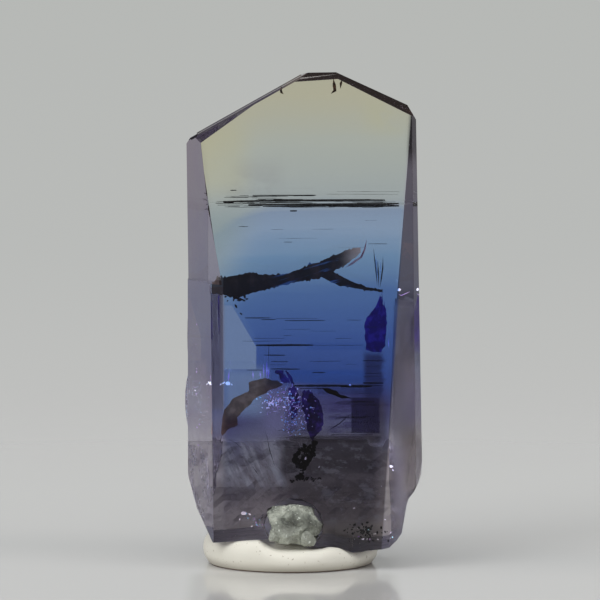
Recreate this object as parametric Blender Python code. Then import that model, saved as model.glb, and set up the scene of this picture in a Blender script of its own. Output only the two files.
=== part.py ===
"""Rough tanzanite: one prism with a roof-shaped end and a broken foot, a grain of matrix grown
into that foot, and the small putty disc that it stands on. Metres, +Z up, front towards -Y."""

import math

import bmesh
import bpy
from mathutils import Matrix, Vector, noise

# The sizes below are in millimetres, and MM turns them into metres
MM = 0.001

# Broad front and back faces of the prism
FRONT_DEPTH = 4.0
BACK_DEPTH = 3.9
FOOT_LEVEL = 1.5
FRONT_LEAN = 2.4
BACK_LEAN = 0.4

# Side corners of the prism
LEFT_SIDE = 7.2
LEFT_CORNER_FRONT = -0.9
LEFT_CORNER_BACK = 1.2
RIGHT_CORNER = -1.9
PEAK_HEIGHT = 30.8

# Parting level: the prism above it is turned a little against the prism below it
PARTING_LEFT = 17.5
PARTING_RIGHT = 16.4
PARTING_OVERLAP = 0.3

# Outline of the broken foot, as (x, height) along the front face
FOOT_OUTLINE = (
    (-9.0, 1.5), (-5.6, 1.75), (-3.6, 1.88), (-2.4, 1.96), (-1.6, 1.85), (-0.4, 1.5),
    (0.7, 1.42), (1.5, 1.52), (2.1, 1.46), (2.65, 1.29), (3.1, 1.15), (3.6, 1.17),
    (4.1, 1.29), (4.9, 1.33), (5.6, 1.5), (5.82, 1.9), (6.12, 2.35), (6.28, 3.3),
    (6.42, 4.1), (6.55, 4.5), (6.85, 4.88), (7.1, 5.35), (7.23, 5.95), (7.4, 6.8), (9.0, 7.0),
)
FOOT_ROUGHNESS = 0.12
FOOT_RISE_TO_BACK = 0.03

# Broken and etched lower back
BREAK_TOP = 8.6
BREAK_RECESS = 1.3
BREAK_ROUGHNESS = 0.22

# Open cracks: thickness of the cut, then stations that give each crack its reach
CRACK_THICKNESS = 0.14
BRANCH_FRACTURE = (
    # x, lower edge, upper edge, depth
    (-6.40, 17.30, 17.50, -3.95), (-5.80, 17.22, 17.68, -3.40), (-5.05, 17.16, 18.04, -2.60),
    (-4.05, 16.90, 18.20, -1.80), (-3.30, 17.12, 18.30, -1.40), (-2.18, 17.42, 18.12, -1.20),
    (-1.06, 17.70, 18.18, -1.15), (0.12, 17.94, 18.64, -1.10), (1.02, 18.10, 18.92, -1.05),
    (1.90, 18.52, 19.34, -1.00), (2.67, 18.92, 19.66, -0.95), (3.30, 19.40, 19.82, -0.90),
    (3.58, 19.66, 19.80, -0.90),
)
BRANCH_FORK = (
    (1.02, 18.20, 18.60, -1.05), (1.55, 17.90, 18.52, -1.05), (2.24, 17.60, 18.16, -1.05),
    (3.08, 17.46, 17.72, -1.05), (3.92, 17.30, 17.40, -1.05),
)
PARTINGS = (
    # height, then stations of x, near edge, far edge
    (22.46, (
        (-1.6, -0.4, 0.2), (0.2, -0.9, 0.7), (1.8, -1.3, 1.2), (3.6, -1.2, 1.7), (5.0, -0.7, 2.2),
        (6.0, 0.4, 2.8), (7.1, 1.6, 3.0),
    )),
    (22.74, (
        (-6.4, -3.7, -3.3), (-5.5, -2.9, -2.3), (-4.0, -1.9, -1.1), (-1.5, -1.0, 0.1),
        (1.2, -0.8, 0.5), (3.6, -0.4, 0.6), (5.1, 0.0, 0.3),
    )),
)

# Matrix grain, grown into the front of the foot
GRAIN_CENTRE = Vector((-0.57, -3.72, 2.84))
GRAIN_HALF = Vector((1.58, 0.9, 1.42))
GRAIN_LUMP = 0.12
GRAIN_GAP = 0.2

# Putty disc
PUTTY_X = -0.8
PUTTY_BASE_RADIUS = 5.15
PUTTY_RADIUS = 5.48
PUTTY_HEIGHT = 1.3
PUTTY_BELLY = 0.75
PUTTY_GAP = 0.2
PUTTY_STEPS = 64


# Scene and collections

def clear_scene():
    for thing in list(bpy.data.objects):
        bpy.data.objects.remove(thing, do_unlink=True)


def new_collection(name):
    collection = bpy.data.collections.new(name)
    bpy.context.scene.collection.children.link(collection)
    return collection


def make_material(name, colour, roughness, transmission=0.0, ior=1.5):
    material = bpy.data.materials.new(name)
    material.use_nodes = True
    shader = material.node_tree.nodes["Principled BSDF"]
    shader.inputs["Base Color"].default_value = (*colour, 1.0)
    shader.inputs["Roughness"].default_value = roughness
    shader.inputs["Metallic"].default_value = 0.0
    shader.inputs["Transmission Weight"].default_value = transmission
    shader.inputs["IOR"].default_value = ior
    material.diffuse_color = (*colour, 1.0)
    return material


def object_from(bm, name, collection, material=None):
    """Turns a bmesh in millimetres into an object in metres."""
    bmesh.ops.recalc_face_normals(bm, faces=bm.faces[:])
    mesh = bpy.data.meshes.new(name)
    bm.to_mesh(mesh)
    bm.free()
    mesh.transform(Matrix.Scale(MM, 4))
    thing = bpy.data.objects.new(name, mesh)
    collection.objects.link(thing)
    if material:
        mesh.materials.append(material)
    return thing


def make_cutter(bm, name, collection):
    cutter = object_from(bm, name, collection)
    cutter.hide_render = True
    cutter.display_type = "WIRE"
    return cutter


def combine(target, tool, operation):
    modifier = target.modifiers.new(f"{operation.lower()} {tool.name}", "BOOLEAN")
    modifier.operation = operation
    modifier.solver = "EXACT"
    modifier.object = tool


# Crystal faces

def front_y(z):
    return -FRONT_DEPTH + math.tan(math.radians(FRONT_LEAN)) * (z - FOOT_LEVEL)


def back_y(z):
    return BACK_DEPTH - math.tan(math.radians(BACK_LEAN)) * (z - FOOT_LEVEL)


def on_front(x, z):
    return Vector((x, front_y(z), z))


def on_back(x, z):
    return Vector((x, back_y(z), z))


def at(x, y, z):
    return Vector((x, y, z))


BROAD_FACES = {
    "front": (on_front(-5, 2), on_front(5, 2), on_front(0, 25)),
    "back": (on_back(-5, 2), on_back(5, 2), on_back(0, 25)),
    "right front": (on_front(6.73, 28.15), on_front(6.95, 9.0), at(7.3, -2.75, 16.5)),
}

UPPER_SIDES = {
    "left": (at(-7.25, 0, 26.4), at(-7.17, 0, 16.8), at(-7.25, 1, 26.4)),
    "left front, high": (
        on_front(-6.32, 26.5), on_front(-5.87, 22.4), at(-7.22, LEFT_CORNER_FRONT, 24.4),
    ),
    "left front, low": (
        on_front(-5.87, 22.4), on_front(-5.12, 18.3), at(-7.18, LEFT_CORNER_FRONT, 18.3),
    ),
    "left back": (on_back(-6.47, 26.2), on_back(-5.27, 17.85), at(-7.2, LEFT_CORNER_BACK, 20)),
    "right": (at(7.0, 0, 27.5), at(7.18, 0, 16.5), at(7.0, 1, 27.5)),
    "right back": (on_back(6.8, 27.8), on_back(5.94, 16.9), at(7.24, RIGHT_CORNER, 16.5)),
}

LOWER_SIDES = {
    "left": (at(-7.2, 0, 17), at(-7.2, 0, 5), at(-7.2, 1, 17)),
    "left front": (
        on_front(-5.72, 17.4), on_front(-5.54, 1.8), at(-LEFT_SIDE, LEFT_CORNER_FRONT, 10),
    ),
    "left back": (
        on_back(-5.05, 15.9), on_back(-5.03, 7.9), at(-LEFT_SIDE, LEFT_CORNER_BACK, 10),
    ),
    "right": (at(7.18, 0, 16.5), at(7.34, 0, 9.0), at(7.18, 1, 16.5)),
    "right back": (on_back(5.75, 15.7), on_back(5.3, 5.4), at(7.33, RIGHT_CORNER, 12.5)),
    "foot left, high": (at(-7.12, 0, 5.4), at(-6.62, 0, 3.7), at(-7.12, 3, 5.4)),
    "foot left, low": (at(-6.62, 0, 3.7), at(-5.5, 0, 1.55), at(-6.62, 3, 3.7)),
}

ROOF_FACES = {
    "roof left": (at(-7.11, 0, 26.63), at(-0.22, 0, 30.49), at(-7.11, 3, 26.68)),
    "bevel left": (on_front(-6.32, 26.49), on_front(-2.41, 29.32), at(-6.6, -2.35, 26.88)),
    "peak front": (on_front(-0.81, 30.27), on_front(2.16, 30.43), at(1.1, -0.5, PEAK_HEIGHT)),
    "peak": (at(0.3, -0.5, PEAK_HEIGHT), at(1.9, -0.5, PEAK_HEIGHT), at(1.1, 3.4, 30.6)),
    "roof right": (at(2.31, -1, 30.7), at(6.5, -1, 28.78), at(2.31, 3, 30.63)),
    "bevel right": (on_front(2.16, 30.43), on_front(6.73, 28.15), at(6.5, -0.8, 28.74)),
    "shoulder right": (at(6.5, -1, 28.78), at(6.91, -1, 28.06), at(6.5, 3, 28.78)),
    "shoulder left": (at(-7.11, 0, 26.63), at(-7.25, 0, 26.38), at(-7.11, 3, 26.63)),
}

CRYSTAL_CORE = at(0, 0, 15)


def cut_face(bm, points, keep=CRYSTAL_CORE):
    """Cuts the block along the plane of three points, and leaves the side that holds keep."""
    first, second, third = points
    normal = (second - first).cross(third - first).normalized()
    if normal.dot(keep - first) > 0:
        normal = -normal
    everything = bm.verts[:] + bm.edges[:] + bm.faces[:]
    cut = bmesh.ops.bisect_plane(
        bm, geom=everything, plane_co=first, plane_no=normal, clear_outer=True
    )
    rim = [part for part in cut["geom_cut"] if isinstance(part, bmesh.types.BMEdge)]
    if rim:
        bmesh.ops.edgeloop_fill(bm, edges=rim)


def faceted_block(faces, low, high):
    """A block between two levels, cut by each named face in turn."""
    bm = bmesh.new()
    bmesh.ops.create_cube(bm, size=1.0)
    bmesh.ops.scale(bm, vec=(20, 20, high - low), verts=bm.verts[:])
    bmesh.ops.translate(bm, vec=(0, 0, (high + low) / 2), verts=bm.verts[:])
    for points in faces.values():
        cut_face(bm, points)
    return bm


def parting_plane(lift):
    return (
        at(-6, 0, PARTING_LEFT + lift),
        at(6.5, 0, PARTING_RIGHT + lift),
        at(-6, 3, PARTING_LEFT + lift),
    )


def upper_prism():
    bm = faceted_block({**BROAD_FACES, **UPPER_SIDES, **ROOF_FACES}, 10, 34)
    cut_face(bm, parting_plane(0.0), keep=at(0, 0, PEAK_HEIGHT))
    return bm


def lower_prism():
    bm = faceted_block({**BROAD_FACES, **LOWER_SIDES}, -1, 22)
    cut_face(bm, parting_plane(PARTING_OVERLAP), keep=at(0, 0, FOOT_LEVEL))
    return bm


# Growth lenses and grooves on the sides

PLATES = (
    # centre, half size, both as (x, y, z)
    (at(-6.85, 1.1, 14.2), at(0.44, 1.5, 3.1)),
    (at(-6.95, 1.2, 10.1), at(0.49, 1.4, 2.1)),
)


def growth_plate(centre, half_size):
    """A flat lens of later growth, half sunk in the side."""
    bm = bmesh.new()
    bmesh.ops.create_icosphere(bm, subdivisions=3, radius=1.0)
    bmesh.ops.scale(bm, vec=half_size, verts=bm.verts[:])
    bmesh.ops.translate(bm, vec=centre, verts=bm.verts[:])
    return bm


def right_back_point(along, z):
    return at(7.33, RIGHT_CORNER, z).lerp(on_back(5.5, z), along)


GROOVE_HALF = 0.35
GROOVES = (
    # share of the right back face's width, lower end, upper end, depth
    (0.14, 7.0, 15.2, 0.10),
    (0.30, 9.2, 15.6, 0.08),
    (0.47, 6.4, 13.8, 0.12),
    (0.64, 8.1, 15.0, 0.09),
    (0.82, 6.8, 12.9, 0.10),
)


def groove_bar(along, low, high, depth):
    """A square bar, edge inwards, that leaves a V groove of the depth in the right back face."""
    bottom = right_back_point(along, low)
    top = right_back_point(along, high)
    axis = (top - bottom).normalized()
    across = (right_back_point(along + 0.1, low) - bottom).normalized()
    outward = across.cross(axis).normalized()
    if outward.dot(bottom - CRYSTAL_CORE) < 0:
        outward = -outward
    bm = bmesh.new()
    bmesh.ops.create_cube(bm, size=1.0)
    side = GROOVE_HALF * math.sqrt(2)
    bmesh.ops.scale(bm, vec=(side, side, (top - bottom).length), verts=bm.verts[:])
    turn = Matrix.Rotation(math.radians(45), 4, "Z")
    basis = Matrix((across, outward, axis)).transposed().to_4x4()
    centre = (top + bottom) / 2 + outward * (GROOVE_HALF - depth)
    bmesh.ops.transform(bm, matrix=Matrix.Translation(centre) @ basis @ turn, verts=bm.verts[:])
    return bm


# Broken surfaces

def step_between(value, low, high):
    share = min(1.0, max(0.0, (value - low) / (high - low)))
    return share * share * (3 - 2 * share)


def rough(place, size):
    """Broken stone: rounded lumps with finer chips on them, between about -1 and 1."""
    return noise.fractal(place / size, 0.9, 2.1, 3)


def foot_outline_height(x):
    for (x0, z0), (x1, z1) in zip(FOOT_OUTLINE, FOOT_OUTLINE[1:]):
        if x <= x1:
            return z0 + (z1 - z0) * (x - x0) / (x1 - x0)
    return FOOT_OUTLINE[-1][1]


def foot_height(x, y):
    lumps = FOOT_ROUGHNESS * rough(at(x, y, 3.7), 1.1)
    rise = FOOT_RISE_TO_BACK * (y + FRONT_DEPTH)
    settle = step_between(y, -FRONT_DEPTH, -FRONT_DEPTH + 1.0)
    return foot_outline_height(x) + lumps * settle + rise


def break_depth(x, z):
    recess = BREAK_RECESS * (1 - step_between(z, FOOT_LEVEL, BREAK_TOP - 0.8))
    lumps = BREAK_ROUGHNESS * rough(at(x, 9.1, z), 1.3) * (1 - step_between(z, 6.5, BREAK_TOP))
    clear = 0.5 * step_between(z, BREAK_TOP - 1.2, BREAK_TOP)
    return back_y(z) - recess + lumps + clear


def foot_stations():
    """Places across the foot: even steps, closer where the right side drops away."""
    even = [-8.6 + 0.45 * step for step in range(33)]
    steep = [5.82, 5.97, 6.12, 6.2, 6.28, 6.35, 6.42, 6.55, 6.7, 6.85, 6.97, 7.1, 7.23, 7.4, 7.7, 8.2]
    return [x for x in even if x < 5.7] + steep


def relief_block(stations, rows, surface, far):
    """A closed block between a relief surface(u, v) and its copy pushed out to far."""
    bm = bmesh.new()
    bmesh.ops.create_grid(bm, x_segments=len(stations) - 1, y_segments=len(rows) - 1, size=1.0)
    for vert in bm.verts:
        column = round((vert.co.x + 1) / 2 * (len(stations) - 1))
        row = round((vert.co.y + 1) / 2 * (len(rows) - 1))
        vert.co = surface(stations[column], rows[row])
    pushed = bmesh.ops.extrude_face_region(bm, geom=bm.faces[:])
    for part in pushed["geom"]:
        if isinstance(part, bmesh.types.BMVert):
            part.co = far(part.co)
    return bm


def foot_break():
    rows = [-6.5 + 0.5 * step for step in range(27)]
    return relief_block(
        foot_stations(), rows,
        lambda x, y: at(x, y, foot_height(x, y)),
        lambda place: at(place.x, place.y, -2),
    )


def putty_press():
    rows = [-6.5 + 0.5 * step for step in range(27)]
    return relief_block(
        foot_stations(), rows,
        lambda x, y: at(x, y, foot_height(x, y) - PUTTY_GAP),
        lambda place: at(place.x, place.y, 12),
    )


def back_break():
    columns = [-8.5 + 0.5 * step for step in range(35)]
    rows = [0.4 + 0.42 * step for step in range(21)]
    return relief_block(
        columns, rows,
        lambda x, z: at(x, break_depth(x, z), z),
        lambda place: at(place.x, 7.5, place.z),
    )


# Open cracks

def upright_crack(stations):
    """A thin upright slit that follows its stations from side to side and in depth."""
    return relief_block(
        stations, (1, 2),
        lambda station, edge: at(station[0], station[3], station[edge]),
        lambda place: at(place.x, place.y + CRACK_THICKNESS, place.z),
    )


def level_crack(height, stations):
    """A thin level slit between the near and the far edge of its stations."""
    return relief_block(
        stations, (1, 2),
        lambda station, edge: at(station[0], station[edge], height),
        lambda place: at(place.x, place.y, place.z + CRACK_THICKNESS),
    )


# Matrix grain and its pocket

def grain_lump(extra, subdivisions):
    bm = bmesh.new()
    bmesh.ops.create_icosphere(bm, subdivisions=subdivisions, radius=1.0)
    for vert in bm.verts:
        way = vert.co.normalized()
        lump = 1 + GRAIN_LUMP * rough(way * 1.6 + at(4.2, 1.3, 7.7), 1.0)
        reach = Vector((way.x * GRAIN_HALF.x, way.y * GRAIN_HALF.y, way.z * GRAIN_HALF.z))
        vert.co = GRAIN_CENTRE + reach * lump + way * extra
    return bm


# Putty disc

def turned_disc():
    """The disc's half section turned about the vertical: flat base, rounded belly, rounded rim."""
    section = [(0.0, 0.0), (PUTTY_BASE_RADIUS - 0.15, 0.0), (PUTTY_BASE_RADIUS, 0.06)]
    for step in range(9):
        share = step / 8
        angle = math.radians(-40 + 125 * share)
        radius = PUTTY_RADIUS - 0.55 + 0.55 * math.cos(angle)
        section.append((radius, PUTTY_BELLY + 0.55 * math.sin(angle)))
    section.append((PUTTY_RADIUS - 0.9, PUTTY_HEIGHT))
    section.append((0.0, PUTTY_HEIGHT))
    bm = bmesh.new()
    verts = [bm.verts.new((radius, 0, z)) for radius, z in section]
    edges = [bm.edges.new(pair) for pair in zip(verts, verts[1:])]
    bmesh.ops.spin(
        bm, geom=verts + edges, cent=(0, 0, 0), axis=(0, 0, 1),
        angle=math.tau, steps=PUTTY_STEPS, use_merge=True,
    )
    bmesh.ops.remove_doubles(bm, verts=bm.verts[:], dist=0.0005)
    bmesh.ops.translate(bm, vec=(PUTTY_X, 0, 0), verts=bm.verts[:])
    return bm


def main():
    clear_scene()
    parts = new_collection("rough_tanzanite")
    cutters = new_collection("rough_tanzanite_cutters")

    violet_blue = make_material("crystal", (0.30, 0.34, 0.52), 0.05, 1.0, 1.69)
    grey_green = make_material("matrix_grain", (0.23, 0.24, 0.21), 0.85)
    off_white = make_material("putty_disc", (0.62, 0.60, 0.52), 0.75)

    crystal = object_from(upper_prism(), "crystal", parts, violet_blue)
    combine(crystal, make_cutter(lower_prism(), "lower_prism", cutters), "UNION")
    for number, (centre, size) in enumerate(PLATES):
        plate = make_cutter(growth_plate(centre, size), f"growth_plate_{number}", cutters)
        combine(crystal, plate, "UNION")
    combine(crystal, make_cutter(foot_break(), "foot_break", cutters), "DIFFERENCE")
    combine(crystal, make_cutter(back_break(), "back_break", cutters), "DIFFERENCE")
    for number, groove in enumerate(GROOVES):
        bar = make_cutter(groove_bar(*groove), f"groove_{number}", cutters)
        combine(crystal, bar, "DIFFERENCE")
    for number, stations in enumerate((BRANCH_FRACTURE, BRANCH_FORK)):
        crack = make_cutter(upright_crack(stations), f"branch_fracture_{number}", cutters)
        combine(crystal, crack, "DIFFERENCE")
    for number, parting in enumerate(PARTINGS):
        crack = make_cutter(level_crack(*parting), f"parting_{number}", cutters)
        combine(crystal, crack, "DIFFERENCE")
    pocket = make_cutter(grain_lump(GRAIN_GAP, 3), "grain_pocket", cutters)
    combine(crystal, pocket, "DIFFERENCE")

    object_from(grain_lump(0.0, 4), "matrix_grain", parts, grey_green)

    disc = object_from(turned_disc(), "putty_disc", parts, off_white)
    disc.data.shade_smooth()
    combine(disc, make_cutter(putty_press(), "putty_press", cutters), "DIFFERENCE")


main()
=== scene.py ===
# %% [markdown]
# Rough tanzanite, as a lesson in cells.
# The real object is one natural prism of clear stone, honey above and royal blue below, with dark
# fractures inside it, a grain of its host rock at the foot, and a pressed disc of putty that holds
# it up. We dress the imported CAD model: the clear stone, the rock and the putty each get a finer
# mesh in place of their plain solid, and everything that lies inside the stone is a thin piece of
# its own, so that light really passes round it.

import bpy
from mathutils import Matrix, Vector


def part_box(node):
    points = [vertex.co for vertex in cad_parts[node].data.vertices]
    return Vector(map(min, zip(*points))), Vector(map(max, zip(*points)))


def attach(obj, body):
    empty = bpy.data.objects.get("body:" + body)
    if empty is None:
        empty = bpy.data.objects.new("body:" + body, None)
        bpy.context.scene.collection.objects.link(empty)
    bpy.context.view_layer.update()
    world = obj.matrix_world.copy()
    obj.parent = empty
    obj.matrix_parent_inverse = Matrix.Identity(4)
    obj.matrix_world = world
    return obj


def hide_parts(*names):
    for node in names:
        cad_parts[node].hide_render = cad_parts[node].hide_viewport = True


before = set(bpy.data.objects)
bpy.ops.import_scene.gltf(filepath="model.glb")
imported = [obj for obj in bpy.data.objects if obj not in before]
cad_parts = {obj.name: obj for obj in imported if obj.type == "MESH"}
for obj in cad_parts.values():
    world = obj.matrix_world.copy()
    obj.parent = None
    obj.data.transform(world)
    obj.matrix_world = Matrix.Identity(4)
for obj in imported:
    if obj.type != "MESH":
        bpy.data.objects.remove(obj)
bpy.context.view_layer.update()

# %% [markdown]
# Small stones are easiest to think of in millimetres, while Blender's unit here is the metre.
# One factor turns one into the other, and every size below is written in millimetres.

# %% Imports, units and seeded chance
import math
import random

import bmesh
import bpy
from mathutils import Matrix, Vector, noise
from mathutils.bvhtree import BVHTree

MM = 0.001
CRYSTAL = "crystal"
GRAIN = "matrix_grain"
PUTTY = "putty_disc"


def box_mm(node_name):
    low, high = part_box(node_name)
    return low / MM, high / MM


stone_low, stone_high = box_mm(CRYSTAL)
print("stone, mm:", tuple(round(v, 2) for v in stone_high - stone_low))

# %% [markdown]
# The camera stands a quarter of a metre away with a long lens and looks down by about four
# degrees. A long lens keeps the prism's upright edges parallel, as a catalogue picture does. We
# could aim it with a constraint, but a plain place and pitch say the same thing with less.

# %% Camera
CAMERA_SPOT = Vector((-0.1875, -262.0, 35.66))
CAMERA_PITCH = 4.1737
CAMERA_LENS = 251.52

camera_data = bpy.data.cameras.new("camera")
camera_data.lens = CAMERA_LENS
camera_data.sensor_width = 36.0
camera_data.clip_start = 0.01
camera = bpy.data.objects.new("camera", camera_data)
camera.location = CAMERA_SPOT * MM
camera.rotation_euler = (math.radians(90 - CAMERA_PITCH), 0, 0)
bpy.context.scene.collection.objects.link(camera)
bpy.context.scene.camera = camera
bpy.context.scene.view_settings.view_transform = "Standard"
print("camera distance:", round(-CAMERA_SPOT.y), "mm")

# %% [markdown]
# Materials are built from nodes, and a few short helpers keep that readable: one feeds a socket
# with a number or another node, some do sums, one mixes two colours, and the last ones make soft
# masks and steps of colour. Writing them once means that each finish below reads like a recipe.


# %% Helpers for shader nodes
def feed(tree, socket, value):
    if isinstance(value, bpy.types.NodeSocket):
        tree.links.new(value, socket)
    elif socket.type == "RGBA" and len(value) == 3:
        socket.default_value = (*value, 1.0)
    else:
        socket.default_value = value


def new_finish(name):
    """A new material with its tree of nodes and its shader."""
    material = bpy.data.materials.new(name)
    material.use_nodes = True
    return material, material.node_tree, material.node_tree.nodes["Principled BSDF"]


def sum_of(tree, operation, *values):
    made = tree.nodes.new("ShaderNodeMath")
    made.operation = operation
    for socket, value in zip(made.inputs, values):
        feed(tree, socket, value)
    return made.outputs[0]


def times(tree, first, second):
    return sum_of(tree, "MULTIPLY", first, second)


def plus(tree, first, second):
    return sum_of(tree, "ADD", first, second)


def minus(tree, first, second):
    return sum_of(tree, "SUBTRACT", first, second)


def scaled(tree, value, factor, shift):
    return sum_of(tree, "MULTIPLY_ADD", value, factor, shift)


def vector_sum(tree, operation, first, second=None):
    made = tree.nodes.new("ShaderNodeVectorMath")
    made.operation = operation
    feed(tree, made.inputs[0], first)
    if second is not None:
        made.inputs[1].default_value = second
    return made.outputs["Vector" if operation == "MULTIPLY" else "Value"]


def axes_of(tree, vector):
    made = tree.nodes.new("ShaderNodeSeparateXYZ")
    feed(tree, made.inputs[0], vector)
    return made.outputs[:]


def mixed(tree, share, first, second):
    made = tree.nodes.new("ShaderNodeMix")
    made.data_type = "RGBA"
    for number, value in ((0, share), (6, first), (7, second)):
        feed(tree, made.inputs[number], value)
    return made.outputs[2]


def rising(tree, value, start, end):
    """0 below start, 1 above end, and a soft step between; falling where start is above end."""
    made = tree.nodes.new("ShaderNodeMapRange")
    made.interpolation_type = "SMOOTHSTEP"
    feed(tree, made.inputs["Value"], value)
    reach = (min(start, end), max(start, end), float(start > end), float(start < end))
    for name, number in zip(("From Min", "From Max", "To Min", "To Max"), reach):
        made.inputs[name].default_value = number
    return made.outputs["Result"]


def between(tree, value, low, high, soft):
    up = rising(tree, value, low - soft, low + soft)
    down = rising(tree, value, high + soft, high - soft)
    return times(tree, up, down)


def colour_steps(tree, value, stops):
    made = tree.nodes.new("ShaderNodeValToRGB")
    feed(tree, made.inputs[0], value)
    elements = made.color_ramp.elements
    while len(elements) < len(stops):
        elements.new(0.5)
    for element, (place, colour) in zip(elements, stops):
        element.position = place
        element.color = (*colour, 1.0)
    return made.outputs["Color"]


# %% [markdown]
# A clear stone shows its surroundings more than itself, so the light is half of the material.
# Lamps would do, but they make hard caustics that need many samples. Instead the whole studio is
# painted as directions in the world: a pale backdrop straight behind, darker room to both sides
# of it, which gives the side faces their tone, a dark ceiling behind for the rim facets, and soft
# boxes overhead and in front for the rock and the putty.

# %% Studio light
BACKDROP = (
    (0.30, (0.50, 0.50, 0.495)),
    (0.425, (0.535, 0.535, 0.53)),
    (0.440, (0.545, 0.545, 0.54)),
    (0.455, (0.515, 0.52, 0.51)),
    (0.470, (0.485, 0.495, 0.483)),
    (0.50, (0.470, 0.482, 0.466)),
    (0.56, (0.45, 0.46, 0.45)),
)
ROOM_LEFT = (0.150, 0.140, 0.155)
ROOM_RIGHT = (0.300, 0.280, 0.300)
CEILING = (0.070, 0.055, 0.052)
CAMERA_SIDE = (0.10, 0.095, 0.10)
SOFT_BOXES = (
    # direction, half angle in degrees, strength
    ((-0.10, -0.35, 0.94), 38, 1.7),
    ((-0.66, -0.60, 0.46), 19, 4.2),
    ((0.84, -0.42, 0.34), 13, 3.0),
)


def soft_box(tree, direction, toward, half_angle):
    """1 in the core of the box, falling to 0 at its edge."""
    closeness = vector_sum(tree, "DOT_PRODUCT", direction, Vector(toward).normalized())
    edge, core = (math.cos(math.radians(half_angle * share)) for share in (1.0, 0.8))
    return rising(tree, closeness, edge, core)


def paint_studio():
    world = bpy.data.worlds.new("studio")
    bpy.context.scene.world = world
    world.use_nodes = True
    tree = world.node_tree
    direction = tree.nodes.new("ShaderNodeTexCoord").outputs["Generated"]
    x, y, z = axes_of(tree, direction)
    flat = sum_of(tree, "SQRT", plus(tree, sum_of(tree, "POWER", x, 2.0), sum_of(tree, "POWER", y, 2.0)))
    side = sum_of(tree, "DIVIDE", x, flat)
    behind = rising(tree, y, -0.02, 0.06)
    level = between(tree, z, -0.20, 0.62, 0.05)

    colour = colour_steps(tree, scaled(tree, z, 0.5, 0.5), BACKDROP)
    for room, low, high in ((ROOM_LEFT, -0.95, -0.155), (ROOM_RIGHT, 0.30, 0.95)):
        mask = times(tree, between(tree, side, low, high, 0.05), level)
        colour = mixed(tree, mask, colour, room)
    ceiling = times(tree, between(tree, z, 0.22, 0.80, 0.04), behind)
    colour = mixed(tree, ceiling, colour, CEILING)
    near = times(tree, between(tree, side, -0.22, 0.22, 0.10), between(tree, z, -0.10, 0.16, 0.05))
    near = times(tree, near, minus(tree, 1.0, behind))
    colour = mixed(tree, near, colour, CAMERA_SIDE)
    for toward, half_angle, strength in SOFT_BOXES:
        colour = mixed(tree, soft_box(tree, direction, toward, half_angle), colour, (strength,) * 3)
    feed(tree, tree.nodes["Background"].inputs["Color"], colour)
    return world


studio = paint_studio()
print("studio nodes:", len(studio.node_tree.nodes))

# %% [markdown]
# The stone stands on a glossy pale board that shows a faint mirrored foot. A plane to the horizon
# would hide the painted room from the stone, so the board is a round sheet that turns clear
# towards its edge and melts into the backdrop. Its colour carries painted shade: a soft darker
# band just behind the stone, and a painted shadow under and in front of the putty.

# %% Floor
BOARD_RADIUS = 150.0
BOARD_SOLID = 40.0
BOARD_COLOUR = (0.74, 0.74, 0.735)
# BOARD_SHADE is painted shade behind the stone, BOARD_UNDER a painted shadow in front of the putty
BOARD_SHADE = (0.685, 0.69, 0.69)
BOARD_UNDER = (0.57, 0.565, 0.55)
# start, end and softness of each band, in metres
SHADE_BAND = (0.000, 0.009, 0.006)
UNDER_ACROSS = (-0.0068, 0.0056, 0.0006)
UNDER_AHEAD = (-0.030, -0.005, 0.002)


def make_floor():
    bm = bmesh.new()
    bmesh.ops.create_circle(bm, cap_ends=True, segments=96, radius=BOARD_RADIUS * MM)
    mesh = bpy.data.meshes.new("floor")
    bm.to_mesh(mesh)
    bm.free()
    floor = bpy.data.objects.new("floor", mesh)
    bpy.context.scene.collection.objects.link(floor)

    material, tree, shader = new_finish("glossy_board")
    place = tree.nodes.new("ShaderNodeTexCoord").outputs["Object"]
    x, y, _ = axes_of(tree, place)
    # Painted shade: a soft darker band behind the stone, then a painted shadow under and in front of the putty
    shade = between(tree, scaled(tree, x, 0.2, y), *SHADE_BAND)
    board = mixed(tree, shade, BOARD_COLOUR, BOARD_SHADE)
    under = times(tree, between(tree, y, *UNDER_AHEAD), between(tree, x, *UNDER_ACROSS))
    board = mixed(tree, times(tree, under, 0.8), board, BOARD_UNDER)
    feed(tree, shader.inputs["Base Color"], board)
    shader.inputs["Roughness"].default_value = 0.09
    shader.inputs["IOR"].default_value = 1.32
    clear = tree.nodes.new("ShaderNodeBsdfTransparent")
    blend = tree.nodes.new("ShaderNodeMixShader")
    distance = vector_sum(tree, "LENGTH", place)
    feed(tree, blend.inputs[0], rising(tree, distance, BOARD_SOLID * MM, BOARD_RADIUS * 0.8 * MM))
    tree.links.new(shader.outputs[0], blend.inputs[1])
    tree.links.new(clear.outputs[0], blend.inputs[2])
    tree.links.new(blend.outputs[0], tree.nodes["Material Output"].inputs["Surface"])
    mesh.materials.append(material)
    return floor


floor = make_floor()
print("floor:", round(BOARD_RADIUS * 2), "mm across")

# %% [markdown]
# The stone's big shape is already right in the CAD solid, so its mesh starts as a copy of that
# solid. The import parts the mesh at every sharp edge and cuts each flat face in triangles. We
# weld the points, dissolve the flat triangles, and sort the faces into zones by where they look:
# broad windows, sides, the bevelled rim of the roof, and broken stone at the foot and lower back.
# The solid's level cracks are as wide as a cutter needs, so here they close to a hair, and the
# grooves of the right back face are as deep as a cutter needs, so here their floors are raised.

# %% Read the stone and sort its faces into zones
ZONES = ("window", "side", "rim", "broken", "edge")
WINDOW, SIDE, RIM, BROKEN, EDGE = range(len(ZONES))
ROOF_FOOT = 25.9
BREAK_TOP = 8.8
LEVEL_CRACKS = (22.46, 22.74)
CRACK_WIDTH = 0.14
CRACK_CLOSED = 0.04
CRACK_SEALED = 0.003
CRACK_ENDS = (-5.0, 6.0)
GROOVE_DEPTH = (0.04, 0.20)
GROOVE_LEFT = 0.15
LARGE_BACK = 3.0
LARGE_SKIN = 6.0


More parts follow.
